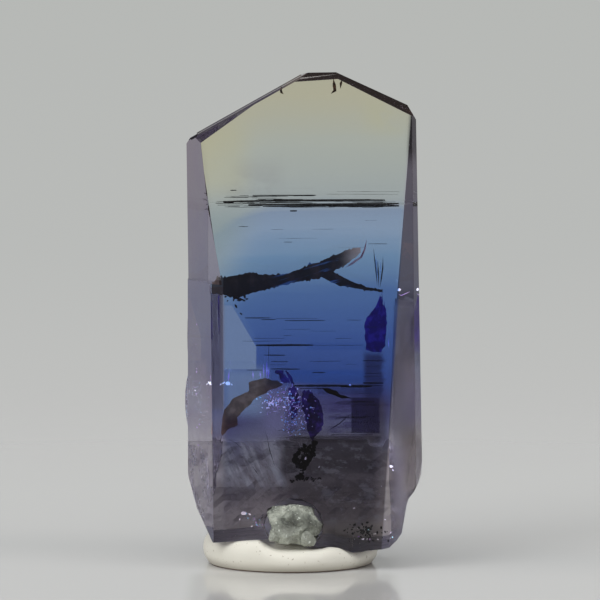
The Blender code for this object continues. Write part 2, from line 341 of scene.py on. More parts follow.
def plane_of(face):
    """A face's middle, its direction, and how low and how high it reaches."""
    heights = [vert.co.z for vert in face.verts]
    return face.calc_center_median(), face.normal.copy(), min(heights), max(heights)


def raise_grooves(bm):
    """Lifts the floors of the grooves towards the large right back faces that they are cut in."""
    backs = [
        plane_of(face) for face in bm.faces
        if face.normal.x > 0.8 and face.normal.y > 0.1 and face.calc_area() > LARGE_BACK
    ]
    moves = []
    for vert in bm.verts:
        if not vert.link_faces or max(face.calc_area() for face in vert.link_faces) > LARGE_BACK:
            continue
        depths = [
            ((centre - vert.co).dot(normal), number)
            for number, (centre, normal, low, high) in enumerate(backs) if low - 0.3 < vert.co.z < high + 0.3
        ]
        depths = [pair for pair in depths if GROOVE_DEPTH[0] < pair[0] < GROOVE_DEPTH[1]]
        if depths:
            depth, number = min(depths)
            moves.append((vert, backs[number][1] * depth * (1 - GROOVE_LEFT)))
    for vert, move in moves:
        vert.co += move
    return len(moves)


def stone_copy():
    bm = bmesh.new()
    bm.from_mesh(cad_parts[CRYSTAL].data)
    bmesh.ops.scale(bm, vec=(1 / MM,) * 3, verts=bm.verts[:])
    bmesh.ops.remove_doubles(bm, verts=bm.verts[:], dist=0.0005)
    bmesh.ops.dissolve_limit(bm, angle_limit=math.radians(0.4), verts=bm.verts[:], edges=bm.edges[:])
    for vert in bm.verts:
        closed = CRACK_CLOSED if CRACK_ENDS[0] < vert.co.x < CRACK_ENDS[1] else CRACK_SEALED
        for level in LEVEL_CRACKS:
            if abs(vert.co.z - level) < 0.02:
                vert.co.z = level + (CRACK_WIDTH - closed) / 2
            elif abs(vert.co.z - level - CRACK_WIDTH) < 0.02:
                vert.co.z = level + (CRACK_WIDTH + closed) / 2
    return bm


def zone_of(face):
    centre = face.calc_center_median()
    normal = face.normal
    if normal.z > 0.25 and centre.z > ROOF_FOOT:
        return RIM if centre.y < -1.0 else SIDE
    if normal.z < -0.35 and centre.z < BREAK_TOP:
        return BROKEN
    if face.calc_area() < 1.2 and centre.z < BREAK_TOP and (normal.y > 0.25 or centre.z < 5.6):
        return BROKEN
    return WINDOW if abs(normal.y) > 0.97 else SIDE


stone = stone_copy()
print("groove floor points:", raise_grooves(stone))
stone.normal_update()
zone_layer = stone.faces.layers.int.new("zone_number")
for face in stone.faces:
    face[zone_layer] = zone_of(face)
for number, zone in enumerate(ZONES):
    members = [face for face in stone.faces if face[zone_layer] == number]
    print(zone, "faces:", len(members), "area:", round(sum(face.calc_area() for face in members), 1), "mm2")
SKIN = [
    plane_of(face) for face in stone.faces
    if face.calc_area() > LARGE_SKIN and abs(face.normal.z) < 0.3 and face[zone_layer] in (WINDOW, SIDE)
    and len(face.verts) > 3
]
print("large upright faces:", len(SKIN))

# %% [markdown]
# The long left slope of the roof is seen nearly edge on, as a band of a few pixels. On the real
# stone that band is a stack of dark and light lines, because the slope is not flat but rises in
# low growth steps. We cut the face across and move the points by a saw-like profile: each tread
# falls a little towards the back, out of sight, and a short steep flank brings it up again. The
# flanks are all that we see of the slope: four dark ones, and a pale one just under the outline.
# The treads and the four dark flanks take the rim's zone, so their darkness is painted shade.

# %% Growth steps on the left slope of the roof
STEP_PROFILE = (
    # distance to the back, lift
    (-9.0, 0.0), (-3.5, 0.0), (-1.808, -0.070), (-1.80, 0.0), (-0.608, -0.050), (-0.60, 0.0), (0.392, -0.042),
    (0.40, 0.0), (1.192, -0.036), (1.20, 0.0), (3.492, -0.092), (3.50, 0.0), (9.0, 0.0),
)
FLANKS = ((-1.808, -1.80), (-0.608, -0.60), (0.392, 0.40), (1.192, 1.20), (3.492, 3.50))
PALE_FLANK = 3


def cut_patch(bm, patch, spot, direction):
    """Cuts a patch of faces by a plane, and returns its pieces."""
    geometry = list({part for face in patch for part in (*face.verts, *face.edges, face)})
    cut = bmesh.ops.bisect_plane(bm, geom=geometry, plane_co=spot, plane_no=direction)
    return [part for part in cut["geom"] if isinstance(part, bmesh.types.BMFace)]


def step_lift(y):
    for (y0, lift0), (y1, lift1) in zip(STEP_PROFILE, STEP_PROFILE[1:]):
        if y <= y1:
            return lift0 + (lift1 - lift0) * (y - y0) / (y1 - y0)
    return 0.0


def step_roof(bm):
    left_slopes = [face for face in bm.faces if face.normal.z > 0.5 and face.normal.x < -0.3]
    slopes = [face for face in left_slopes if face[zone_layer] == SIDE]
    patch = [max(slopes, key=lambda face: face.calc_area())]
    for place in (y for flank in FLANKS for y in flank):
        patch = cut_patch(bm, patch, (0, place, 0), (0, 1, 0))
    for vert in {vert for face in patch for vert in face.verts}:
        vert.co.z += step_lift(vert.co.y)
    bm.normal_update()
    low, high = FLANKS[PALE_FLANK]
    # Treads and four flanks take the rim's painted shade; the pale flank keeps the side colour
    for face in patch:
        face[zone_layer] = SIDE if low < face.calc_center_median().y < high else RIM
    return len(patch)


print("roof strips:", step_roof(stone))

# %% [markdown]
# No edge of a natural stone is a knife edge. Each long edge between flat faces gets a very narrow
# bevel, half a tenth of a millimetre wide. It bends light away from the backdrop, and that is what
# draws the thin dark line round a real crystal. The new faces get a zone of their own, which the
# stone's material paints dark brown, so the line is also painted shade. The crests of the growth
# steps stay sharp, because a bevel there would shine in the light from above.

# %% Narrow bevels on the long edges
EDGE_WIDTH = 0.05
SHARP_ENOUGH = math.radians(7)


def bevel_long_edges(bm):
    chosen = []
    for edge in bm.edges:
        if len(edge.link_faces) != 2 or edge.calc_length() < 0.9:
            continue
        flat = all(face[zone_layer] != BROKEN and face.calc_area() > 1.6 for face in edge.link_faces)
        level = max(abs(face.normal.z) for face in edge.link_faces) > 0.99
        tread = any(
            face[zone_layer] == RIM and face.normal.z > 0.8 and face.normal.x < -0.4 for face in edge.link_faces
        )
        if flat and not level and not tread and edge.calc_face_angle() > SHARP_ENOUGH and edge.is_convex:
            chosen.append(edge)
    made = bmesh.ops.bevel(bm, geom=chosen, offset=EDGE_WIDTH, segments=1, affect="EDGES", clamp_overlap=True)
    for face in made["faces"]:
        face[zone_layer] = EDGE
    return len(chosen)


print("bevelled edges:", bevel_long_edges(stone))

# %% [markdown]
# Tanzanite prisms are striated along their length: growth steps no wider than a hair run up the
# side faces. A bump map would fake them, but a bump does nothing to the outline. Instead each side
# face is cut by upright planes at uneven distances and by a few level ones, and the points where
# they cross are pushed in by a few thousandths of a millimetre. Points on the face's border stay.

# %% Striations on the side faces
STRIA_STEP = (0.13, 0.40)
LEVEL_STEP = (0.9, 2.6)
STRIA_DEPTH = 0.0035


def slice_patch(bm, patch, origin, direction, step, chance):
    """Cuts a patch of faces by parallel planes at uneven steps, and returns its pieces."""
    reach = [(vert.co - origin).dot(direction) for face in patch for vert in face.verts]
    place = min(reach) + chance.uniform(*step)
    while place < max(reach) - 0.1:
        patch = cut_patch(bm, patch, origin + direction * place, direction)
        place += chance.uniform(*step)
    return patch


def striate(bm, chance):
    moved = 0
    for face in [face for face in bm.faces if face[zone_layer] == SIDE and face.calc_area() > 4.0]:
        normal = face.normal.copy()
        if abs(normal.z) > 0.3:
            continue
        centre = face.calc_center_median()
        across = normal.cross(Vector((0, 0, 1))).normalized()
        patch = slice_patch(bm, [face], centre, across.cross(normal).normalized(), LEVEL_STEP, chance)
        patch = slice_patch(bm, patch, centre, across, STRIA_STEP, chance)
        members = set(patch)
        seed = chance.uniform(0, 90)
        for vert in {vert for member in patch for vert in member.verts}:
            if all(other in members for other in vert.link_faces):
                place = (vert.co - centre).dot(across)
                ripple = noise.fractal(Vector((place * 2.2, vert.co.z * 0.06, seed)), 0.6, 2.3, 3)
                vert.co -= normal * STRIA_DEPTH * (1 + ripple)
                moved += 1
    return moved


print("striation points:", striate(stone, random.Random(11)))

# %% [markdown]
# The foot and the lower back are broken and etched. Their large chips are in the solid, and here
# each chip is divided and its new points are pushed in and out by layered noise, so the break
# catches light in many small facets. Points on the border stay where they are, which keeps the
# stone closed and its flat faces flat.

# %% Etch the broken stone
ETCH_CUTS = 3
ETCH_DEPTH = 0.026


def etch(bm):
    broken = [face for face in bm.faces if face[zone_layer] == BROKEN]
    bmesh.ops.triangulate(bm, faces=broken)
    broken = [face for face in bm.faces if face[zone_layer] == BROKEN]
    edges = {edge for face in broken for edge in face.edges}
    inner = [edge for edge in edges if all(face[zone_layer] == BROKEN for face in edge.link_faces)]
    long_inner = [edge for edge in inner if edge.calc_length() > 0.12]
    bmesh.ops.subdivide_edges(bm, edges=long_inner, cuts=ETCH_CUTS, use_grid_fill=True)
    bm.normal_update()
    moved = 0
    for vert in bm.verts:
        if vert.link_faces and all(face[zone_layer] == BROKEN for face in vert.link_faces):
            lift = noise.fractal(vert.co / 0.42, 0.9, 2.2, 3)
            vert.co += vert.normal * lift * ETCH_DEPTH
            moved += 1
    return moved


print("etched points:", etch(stone), "faces now:", len(stone.faces))

# %% [markdown]
# Turned back into an object, the stone carries its zones as five numbers on every face. A shader
# reads such an attribute by name, so one material can treat window, side, rim and break apart.
# One material for the whole closed skin matters here, because light has to leave the stone
# through the same material that it came in by.


# %% Stone object with its zones as attributes
def add_piece(bm, name, material, replaces=()):
    """Turns a bmesh in millimetres into a piece of the object, in metres, riding on its body."""
    bmesh.ops.recalc_face_normals(bm, faces=bm.faces[:])
    bmesh.ops.scale(bm, vec=(MM,) * 3, verts=bm.verts[:])
    mesh = bpy.data.meshes.new(name)
    bm.to_mesh(mesh)
    bm.free()
    mesh.materials.append(material)
    piece = bpy.data.objects.new(name, mesh)
    bpy.context.scene.collection.objects.link(piece)
    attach(piece, "root")
    if replaces:
        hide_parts(*replaces)
    return piece


def mark_zones(mesh):
    numbers = [item.value for item in mesh.attributes["zone_number"].data]
    for number, zone in enumerate(ZONES):
        attribute = mesh.attributes.new(zone, "FLOAT", "FACE")
        attribute.data.foreach_set("value", [float(value == number) for value in numbers])


tanzanite = bpy.data.materials.new("tanzanite")
stone_tree = BVHTree.FromBMesh(stone)
crystal = add_piece(stone, "crystal_stone", tanzanite, (CRYSTAL,))
mark_zones(crystal.data)
print("stone points:", len(crystal.data.vertices))

# %% [markdown]
# The colour of tanzanite changes with the direction that one looks in: straight through the broad
# face it runs from honey to royal blue, and through the side faces it is grey-lilac. Absorption
# in Blender is the same in all directions. So the stone has a light violet absorption all
# through, and the strong colour sits on the broad faces as a tint of the light that passes, most
# of it at the front. The height steers a ramp of named shades, and soft noise tips its layers.

# %% Shades of the stone
HIGHEST = 31.0
HONEY = (0.99, 0.95, 0.69)
ICE = (0.88, 0.93, 0.81)
MIST = (0.74, 0.82, 0.79)
STEEL_BLUE = (0.49, 0.66, 0.87)
CORNFLOWER = (0.30, 0.51, 0.77)
ROYAL_BLUE = (0.135, 0.27, 0.60)
DEEP_ROYAL = (0.085, 0.18, 0.53)
SHADE_HEIGHTS = (
    (2.5, (0.62, 0.55, 0.50)), (3.3, (0.33, 0.29, 0.31)), (4.6, (0.24, 0.21, 0.235)), (7.2, (0.19, 0.18, 0.24)),
    (9.0, (0.14, 0.15, 0.28)),
    (10.3, (0.075, 0.075, 0.22)), (11.9, (0.055, 0.115, 0.41)), (14.6, DEEP_ROYAL), (17.2, ROYAL_BLUE),
    (19.4, CORNFLOWER), (21.2, STEEL_BLUE), (22.4, (0.47, 0.61, 0.80)), (23.0, MIST), (26.4, ICE), (29.4, HONEY),
)
PALE_STEEL = (0.29, 0.42, 0.68)
GREY_LILAC = (0.33, 0.35, 0.44)
SEA_GREY = (0.52, 0.66, 0.66)
PALE_HONEY = (1.0, 0.97, 0.62)
FOG = (0.42, 0.38, 0.40)
BLUE_FOG = (0.46, 0.49, 0.60)
PALE_FOG = (0.62, 0.58, 0.62)
DUSK = (0.20, 0.20, 0.40)
VIOLET_SHADE = (0.045, 0.040, 0.16)
NAVY = (0.018, 0.028, 0.13)
INK = (0.008, 0.006, 0.045)
# a thin line of painted shade, used near the top of the broken zone
PAINTED_DARK_LINE = (0.012, 0.011, 0.018)
ROYAL_BAND = (0.030, 0.10, 0.44)
SMOKE = (0.060, 0.052, 0.065)
BEIGE = (0.52, 0.45, 0.34)
SIDE_LILAC = (0.72, 0.70, 0.74)
SIDE_LOW = (0.93, 0.90, 0.91)
# SIDE_DIM and SIDE_TOP are painted shade on the side colour
SIDE_DIM = (0.43, 0.41, 0.45)
SIDE_TOP = (0.12, 0.12, 0.115)
# The rim, roof and edge colours below are painted shade on clear facets
RIM_DARK = (0.055, 0.038, 0.033)
RIM_BROWN = (0.17, 0.125, 0.11)
ROOF_VIOLET = (0.010, 0.007, 0.016)
ROOF_GREY = (0.030, 0.026, 0.032)
EDGE_BROWN = (0.20, 0.10, 0.08)
BREAK_SMOKE = (0.26, 0.24, 0.25)
BREAK_LEFT = (0.74, 0.72, 0.75)
BREAK_RIGHT = (0.50, 0.44, 0.40)
BREAK_EDGE = (0.80, 0.80, 0.81)


def named_attribute(tree, name):
    made = tree.nodes.new("ShaderNodeAttribute")
    made.attribute_name = name
    return made.outputs["Fac"]


def noise_value(tree, vector, scale, detail=3.0, roughness=0.5):
    made = tree.nodes.new("ShaderNodeTexNoise")
    feed(tree, made.inputs["Vector"], vector)
    for name, number in (("Scale", scale), ("Detail", detail), ("Roughness", roughness)):
        made.inputs[name].default_value = number
    return made.outputs[0]


def spots(tree, vector, scale, detail, roughness, start, end):
    """A mask of soft-edged spots: the places where a noise lies above a level."""
    return rising(tree, noise_value(tree, vector, scale, detail, roughness), start, end)


def place_in_mm(tree, stretch=(1.0, 1.0, 1.0)):
    place = tree.nodes.new("ShaderNodeTexCoord").outputs["Object"]
    return vector_sum(tree, "MULTIPLY", place, [value / MM for value in stretch])


def stretched(tree, vector, stretch):
    return vector_sum(tree, "MULTIPLY", vector, stretch)


def turned(tree, vector, degrees):
    made = tree.nodes.new("ShaderNodeVectorRotate")
    made.rotation_type = "Y_AXIS"
    feed(tree, made.inputs["Vector"], vector)
    made.inputs["Angle"].default_value = math.radians(degrees)
    return made.outputs[0]


def patch_of(tree, x, z, left, right, low, high, soft):
    """A soft-edged patch of the broad face; a side may be a node, as for a slanted line."""
    inside = rising(tree, minus(tree, x, left), -soft, soft)
    inside = times(tree, inside, rising(tree, minus(tree, right, x), -soft, soft))
    return times(tree, inside, between(tree, z, low, high, soft))


def stone_patches(tree, place, x, z):
    """Shade, strength and mask of each patch that is paler or darker than its height says."""
    cloud = spots(tree, place, 0.55, 4.0, 0.6, 0.36, 0.56)
    fan = stretched(tree, turned(tree, place, 25), (1.5, 1.0, 0.28))
    feather = spots(tree, fan, 1.0, 4.0, 0.6, 0.36, 0.64)
    fine = spots(tree, stretched(tree, place, (0.5, 0.5, 5.0)), 1.0, 3.0, 0.5, 0.42, 0.60)
    mottle = spots(tree, stretched(tree, place, (1.0, 1.0, 1.7)), 1.1, 6.0, 0.68, 0.50, 0.62)
    flakes = spots(tree, stretched(tree, turned(tree, place, -35), (0.9, 1.0, 2.2)), 1.3, 6.0, 0.7, 0.50, 0.60)
    upright = spots(tree, stretched(tree, place, (2.4, 1.0, 0.35)), 1.0, 4.0, 0.6, 0.38, 0.60)
    wander = scaled(tree, noise_value(tree, stretched(tree, place, (0.0, 0.0, 1.0)), 1.4, 3.0), 1.2, -0.6)
    navy_edge = plus(tree, wander, 4.95)
    sea_edge = scaled(tree, z, 0.45, -13.2)
    wide = sum_of(tree, "MINIMUM", scaled(tree, z, -0.585, 5.23), -2.90)
    # The patches bring the front view to the real stone's look: partly its own colour, partly painted shade
    patches = (
        # and painted light for what the view inside the stone bends or reflects
        (SEA_GREY, 0.75, None, (-9.0, sea_edge, 17.8, 22.3, 1.5)),
        (PALE_HONEY, 0.40, None, (-9.0, -3.6, 23.4, 27.6, 0.9)),
        (PALE_HONEY, 0.42, cloud, (3.9, 6.2, 27.2, 29.4, 0.9)),
        (FOG, 0.14, cloud, (-4.2, -1.4, 23.2, 25.2, 0.7)),
        (PALE_STEEL, 0.90, None, (-4.90, wide, 12.50, 16.45, 0.04)),
        (PALE_STEEL, 0.70, None, (-4.90, -2.3, 9.6, 12.50, 0.45)),
        (GREY_LILAC, 0.85, None, (-9.0, -4.90, 10.0, 17.6, 0.07)),
        (BLUE_FOG, 0.50, None, (-9.0, -4.90, 8.4, 10.0, 0.3)),
        (PALE_FOG, 0.75, None, (-9.0, -4.90, 5.6, 8.3, 0.3)),
        (FOG, 0.65, None, (-9.0, -4.90, 2.6, 5.6, 0.3)),
        (BLUE_FOG, 0.90, feather, (-4.90, -0.9, 5.3, 7.9, 0.5)),
        (FOG, 0.30, cloud, (-9.0, -1.6, 1.0, 4.4, 0.6)),
        (ROYAL_BAND, 0.65, None, (-0.8, 4.3, 11.65, 12.45, 0.07)),
        (ROYAL_BAND, 0.35, None, (0.2, 3.9, 13.70, 14.15, 0.05)),
        (DUSK, 0.72, None, (-2.5, 0.1, 8.6, 11.3, 0.6)),
        (VIOLET_SHADE, 0.68, upright, (-1.2, 0.5, 8.5, 11.3, 0.35)),
        (NAVY, 0.90, None, (3.8, navy_edge, 10.7, 13.45, 0.2)),
        (VIOLET_SHADE, 0.65, fine, (1.6, 5.2, 8.2, 10.9, 0.3)),
        (VIOLET_SHADE, 0.55, mottle, (2.6, 4.7, 7.8, 10.6, 0.4)),
        (SMOKE, 0.66, None, (3.8, 5.1, 8.1, 10.6, 0.3)),
        (NAVY, 0.60, None, (0.9, 4.9, 10.95, 11.40, 0.07)),
        (INK, 0.85, None, (3.0, 4.75, 8.55, 10.75, 0.06)),
        # A thin painted shade line across the stone, near the top of the broken zone
        (PAINTED_DARK_LINE, 0.70, None, (-0.8, 4.8, 7.95, 8.38, 0.09)),
        (SMOKE, 0.74, None, (-1.35, 4.5, 6.0, 8.30, 0.45)),
        (SMOKE, 0.50, None, (-0.7, 4.4, 1.0, 5.8, 0.55)),
        (BLUE_FOG, 0.32, mottle, (-0.9, 4.9, 3.0, 7.9, 0.6)),
        (SMOKE, 0.28, flakes, (-4.9, 5.2, 3.4, 8.2, 0.6)),
        (FOG, 0.40, None, (4.9, 9.0, 2.2, 7.0, 0.6)),
        (SMOKE, 0.55, None, (1.5, 9.0, 1.0, 2.8, 0.4)),
    )
    made = []
    for shade, strength, texture, reach in patches:
        mask = patch_of(tree, x, z, *reach)
        made.append((shade, strength, times(tree, mask, texture) if texture else mask))
    return made


def dress_stone(material):
    material.use_nodes = True
    tree = material.node_tree
    shader = tree.nodes["Principled BSDF"]
    place = place_in_mm(tree)
    x, y, z = axes_of(tree, place)
    window, rim, broken, edge = (named_attribute(tree, zone) for zone in ZONES if zone != "side")

    layers = noise_value(tree, place_in_mm(tree, (0.10, 0.10, 1.6)), 1.0, 4.0, 0.6)
    left_pull = sum_of(tree, "MAXIMUM", minus(tree, -1.2, x), 0.0)
    lift = times(tree, sum_of(tree, "POWER", left_pull, 2.0), 0.11)
    wobble = scaled(tree, layers, 1.1, -0.55)
    height = plus(tree, plus(tree, z, lift), wobble)
    shades = [(level / HIGHEST, shade) for level, shade in SHADE_HEIGHTS]
    colour = colour_steps(tree, sum_of(tree, "DIVIDE", height, HIGHEST), shades)
    for shade, strength, mask in stone_patches(tree, place, x, z):
        colour = mixed(tree, times(tree, mask, strength), colour, shade)

    lilac = mixed(tree, rising(tree, z, 9.0, 22.0), SIDE_LOW, SIDE_LILAC)
    mottle = spots(tree, place_in_mm(tree, (1.0, 1.0, 0.45)), 0.8, 4.0, 0.6, 0.40, 0.62)
    lilac = mixed(tree, times(tree, mottle, 0.4), lilac, (0.62, 0.53, 0.70))
    # Painted shade: the side colour is dimmed on the right over the middle heights, and darkened near the top right
    low_dim = times(tree, between(tree, z, 8.5, 12.9, 0.5), rising(tree, x, 7.9, 5.6))
    dim = sum_of(tree, "MAXIMUM", between(tree, z, 12.6, 17.3, 0.5), low_dim)
    dim = times(tree, dim, rising(tree, x, 3.0, 4.0))
    lilac = mixed(tree, dim, lilac, SIDE_DIM)
    top_right = times(tree, rising(tree, z, 24.7, 26.2), rising(tree, x, 5.4, 6.0))
    lilac = mixed(tree, top_right, lilac, SIDE_TOP)
    warm = times(tree, between(tree, z, 4.6, 8.8, 0.8), rising(tree, x, 5.6, 6.6))
    lilac = mixed(tree, times(tree, warm, 0.8), lilac, BEIGE)
    right_line = scaled(tree, z, 0.066, 4.72)
    right_strip = rising(tree, minus(tree, x, right_line), 0.0, 0.12)
    tinted = mixed(tree, right_strip, colour, lilac)
    front = rising(tree, y, 0.5, -0.5)
    strength = scaled(tree, front, 1.4, 0.3)
    deepened = tree.nodes.new("ShaderNodeGamma")
    feed(tree, deepened.inputs["Color"], tinted)
    feed(tree, deepened.inputs["Gamma"], strength)

    skin = mixed(tree, window, lilac, deepened.outputs["Color"])
    # The rim and roof faces are painted dark brown and dark violet-grey: painted shade for the dark bands
    painted_roof_mottle = spots(tree, stretched(tree, place, (0.5, 0.5, 1.2)), 1.2, 3.0, 0.5, 0.48, 0.62)
    specks = spots(tree, place, 2.6, 5.0, 0.7, 0.56, 0.66)
    # that the roof facets show from the front, with a noise mottle in the painted shade of the left slope
    left_rim = mixed(tree, times(tree, painted_roof_mottle, 0.8), ROOF_VIOLET, ROOF_GREY)
    rims = mixed(tree, rising(tree, x, -0.9, -1.5), mixed(tree, specks, RIM_DARK, RIM_BROWN), left_rim)
    skin = mixed(tree, rim, skin, rims)

    outer = mixed(tree, rising(tree, x, 3.0, 6.0), BREAK_LEFT, BREAK_RIGHT)
    outer = mixed(tree, rising(tree, z, 8.9, 6.4), BREAK_EDGE, outer)
    smoky = mixed(tree, between(tree, x, -1.4, 4.9, 0.45), outer, BREAK_SMOKE)
    skin = mixed(tree, broken, skin, smoky)
    # Painted shade on the edge lines: the bevel faces are dark brown, and darker still at the roof
    skin = mixed(tree, edge, skin, mixed(tree, rising(tree, z, 25.5, 26.5), EDGE_BROWN, RIM_DARK))
    feed(tree, shader.inputs["Base Color"], skin)
    matte = times(tree, rising(tree, x, 5.3, 5.9), rising(tree, z, 17.0, 16.2))
    matte = sum_of(tree, "MAXIMUM", times(tree, matte, 0.26), times(tree, broken, 0.50))
    feed(tree, shader.inputs["Roughness"], plus(tree, matte, 0.012))
    shader.inputs["Transmission Weight"].default_value = 1.0
    shader.inputs["IOR"].default_value = 1.69

    depth = tree.nodes.new("ShaderNodeVolumeAbsorption")
    depth.inputs["Color"].default_value = (0.60, 0.60, 0.84, 1.0)
    depth.inputs["Density"].default_value = 40.0
    tree.links.new(depth.outputs[0], tree.nodes["Material Output"].inputs["Volume"])


dress_stone(tanzanite)
print("stone nodes:", len(tanzanite.node_tree.nodes))

# %% [markdown]
# Cracks that have opened, or filled with graphite and iron stain, show as dark ragged sheets
# inside the stone. The large ones are open slits in the solid, and each gets a filling here that
# just encloses its slit. A row of stations gives the two edges and the depth of a crack. The
# stations are walked in small steps, noise pushes the edges outwards, and the ribbon between them
# is doubled into a closed slab. A ribbon never folds over itself, as a drawn outline might.


# %% Helper: slabs that follow stations
def walked(stations, step=0.1):
    """The same stations at short even steps of their first number."""
    steps = []
    for near, far in zip(stations, stations[1:]):
        count = max(1, round((far[0] - near[0]) / step))
        for number in range(count):
            share = number / count
            steps.append(tuple(a + (b - a) * share for a, b in zip(near, far)))
    return steps + [tuple(stations[-1])]


def slab(bm, stations, spot, push, rows=3):
    """A closed thin slab: spot gives the point of a station at a share from edge to edge."""
    near = [[bm.verts.new(spot(station, row / rows)) for row in range(rows + 1)] for station in stations]
    far = [[bm.verts.new(vert.co + Vector(push)) for vert in column] for column in near]
    for first, second, other_first, other_second in zip(near, near[1:], far, far[1:]):
        for row in range(rows):
            bm.faces.new((first[row], second[row], second[row + 1], first[row + 1]))
            bm.faces.new((other_first[row], other_first[row + 1], other_second[row + 1], other_second[row]))
        bm.faces.new((first[0], other_first[0], other_second[0], second[0]))
        bm.faces.new((first[rows], second[rows], other_second[rows], other_first[rows]))
    for near_end, far_end in ((near[0], far[0]), (near[-1], far[-1])):
        for row in range(rows):
            bm.faces.new((near_end[row], near_end[row + 1], far_end[row + 1], far_end[row]))


def outward(place, other, seed, amount):
    """How far the noise pushes an edge outwards: never less than the filling's margin."""
    return 0.03 + amount * abs(noise.fractal(Vector((place * 3.4, other * 3.4, seed)), 0.6, 2.3, 4))


def upright_filling(bm, stations, seed, ragged=0.10):
    def spot(station, share):
        x, low, high, depth = station
        low -= outward(x, low, seed, ragged)
        high += outward(x, high, seed + 9, ragged)
        return Vector((x, depth - 0.03, low + (high - low) * share))

    slab(bm, walked(stations), spot, (0, CRACK_WIDTH + 0.06, 0))


def trim_to_skin(bm):
    """Cuts off what would reach the stone's surface and closes the cut."""
    for centre, normal, low, high in SKIN:
        if low - 0.2 < min(vert.co.z for vert in bm.verts) and max(vert.co.z for vert in bm.verts) < high + 0.2:
            everything = bm.verts[:] + bm.edges[:] + bm.faces[:]
            plane = centre - normal * 0.03
            bmesh.ops.bisect_plane(bm, geom=everything, plane_co=plane, plane_no=normal, clear_outer=True)
            bmesh.ops.holes_fill(bm, edges=[edge for edge in bm.edges if edge.is_boundary])


# %% [markdown]
# Small inclusions come in two more shapes: needles, which are thin spindles along a line of
# points, and chips, which are small flattened lumps. Where one has a free outline, such as a lobed
# patch, the outline is filled, cut by a grid so that it can bend in depth, and given a thickness.


# %% Helpers: needles, chips and ragged sheets
def needle(bm, points, width):
    """A closed spindle along the points, sharp at both ends and flattened in depth."""
    line = [Vector(point) for point in points]
    if len(line) == 2:
        line.insert(1, line[0].lerp(line[1], 0.5))
    last = len(line) - 1
    rings = [[bm.verts.new(line[0])] * 4]
    for number in range(1, last):
        ahead = (line[number + 1] - line[number - 1]).normalized()
        side = ahead.cross(Vector((0, 1, 0))).normalized()
        half = width / 2 * (1 - abs(2 * number / last - 1) ** 2) ** 0.5
        ways = (side, Vector((0, 0.5, 0)), -side, Vector((0, -0.5, 0)))
        rings.append([bm.verts.new(line[number] + way * half) for way in ways])
    rings.append([bm.verts.new(line[-1])] * 4)
    for first, second in zip(rings, rings[1:]):
        for side in range(4):
            corners = (first[side], first[side - 1], second[side - 1], second[side])
            bm.faces.new(tuple(dict.fromkeys(corners)))


def needles(bm, rows):
    for width, points in rows:
        needle(bm, points, width)


def chip(bm, centre, size, chance, flat=0.25, divisions=1):
    """A small flattened lump of any shape and turn, closed."""
    turn = Matrix.Rotation(chance.uniform(0, math.tau), 4, "Y")
    turn @= Matrix.Rotation(chance.uniform(-0.5, 0.5), 4, "X")
    shape = Matrix.Diagonal((size, size * flat, size * chance.uniform(0.45, 0.8), 1.0))
    made = bmesh.ops.create_icosphere(bm, subdivisions=divisions, radius=1.0)
    for vert in made["verts"]:
        vert.co *= 1 + 0.35 * noise.noise(vert.co * 1.7 + Vector(centre))
        vert.co = Vector(centre) + (turn @ shape) @ vert.co


def ragged_line(points, step, ragged, seed):
    """Walks the closed outline in short steps and pushes each one sideways by noise."""
    line = []
    for (x0, z0), (x1, z1) in zip(points, points[1:] + points[:1]):
        length = math.hypot(x1 - x0, z1 - z0)
        pieces = max(1, round(length / step))
        for piece in range(pieces):
            share = piece / pieces
            x, z = x0 + (x1 - x0) * share, z0 + (z1 - z0) * share
            push = noise.fractal(Vector((x * 2.3, z * 2.3, seed)), 0.8, 2.2, 4) * ragged
            line.append((x - (z1 - z0) / length * push, z + (x1 - x0) / length * push))
    return line


def joined(bm, extra):
    """Adds the extra bmesh to the first one."""
    holder = bpy.data.meshes.new("holder")
    extra.to_mesh(holder)
    extra.free()
    bm.from_mesh(holder)
    bpy.data.meshes.remove(holder)
    return bm


def ragged_sheet(bm, outline, depth_at, thickness=0.04, step=0.09, ragged=0.06, seed=1.0):
    sheet = bmesh.new()
    line = ragged_line(list(outline), step, ragged, seed)
    sheet.faces.new([sheet.verts.new((x, 0, z)) for x, z in line])
    bmesh.ops.triangulate(sheet, faces=sheet.faces[:])
    low = Vector(map(min, *[vert.co for vert in sheet.verts]))
    high = Vector(map(max, *[vert.co for vert in sheet.verts]))
    for axis in (0, 2):
        place = low[axis] + 0.35
        plane = Vector((axis == 0, 0, axis == 2))
        while place < high[axis]:
            everything = sheet.verts[:] + sheet.edges[:] + sheet.faces[:]
            bmesh.ops.bisect_plane(sheet, geom=everything, plane_co=plane * place, plane_no=plane)
            place += 0.35
    bmesh.ops.triangulate(sheet, faces=sheet.faces[:])
    for vert in sheet.verts:
        vert.co.y = depth_at(vert.co.x, vert.co.z)
    extruded = bmesh.ops.extrude_face_region(sheet, geom=sheet.faces[:])
    for part in extruded["geom"]:
        if isinstance(part, bmesh.types.BMVert):
            part.co.y += thickness
    return joined(bm, sheet)


def relief(tree, shader, height, strength, depth):
    """A bump no deeper than depth, in millimetres."""
    bump = tree.nodes.new("ShaderNodeBump")
    bump.inputs["Strength"].default_value = strength
    bump.inputs["Distance"].default_value = depth * MM
    feed(tree, bump.inputs["Height"], height)
    feed(tree, shader.inputs["Normal"], bump.outputs[0])


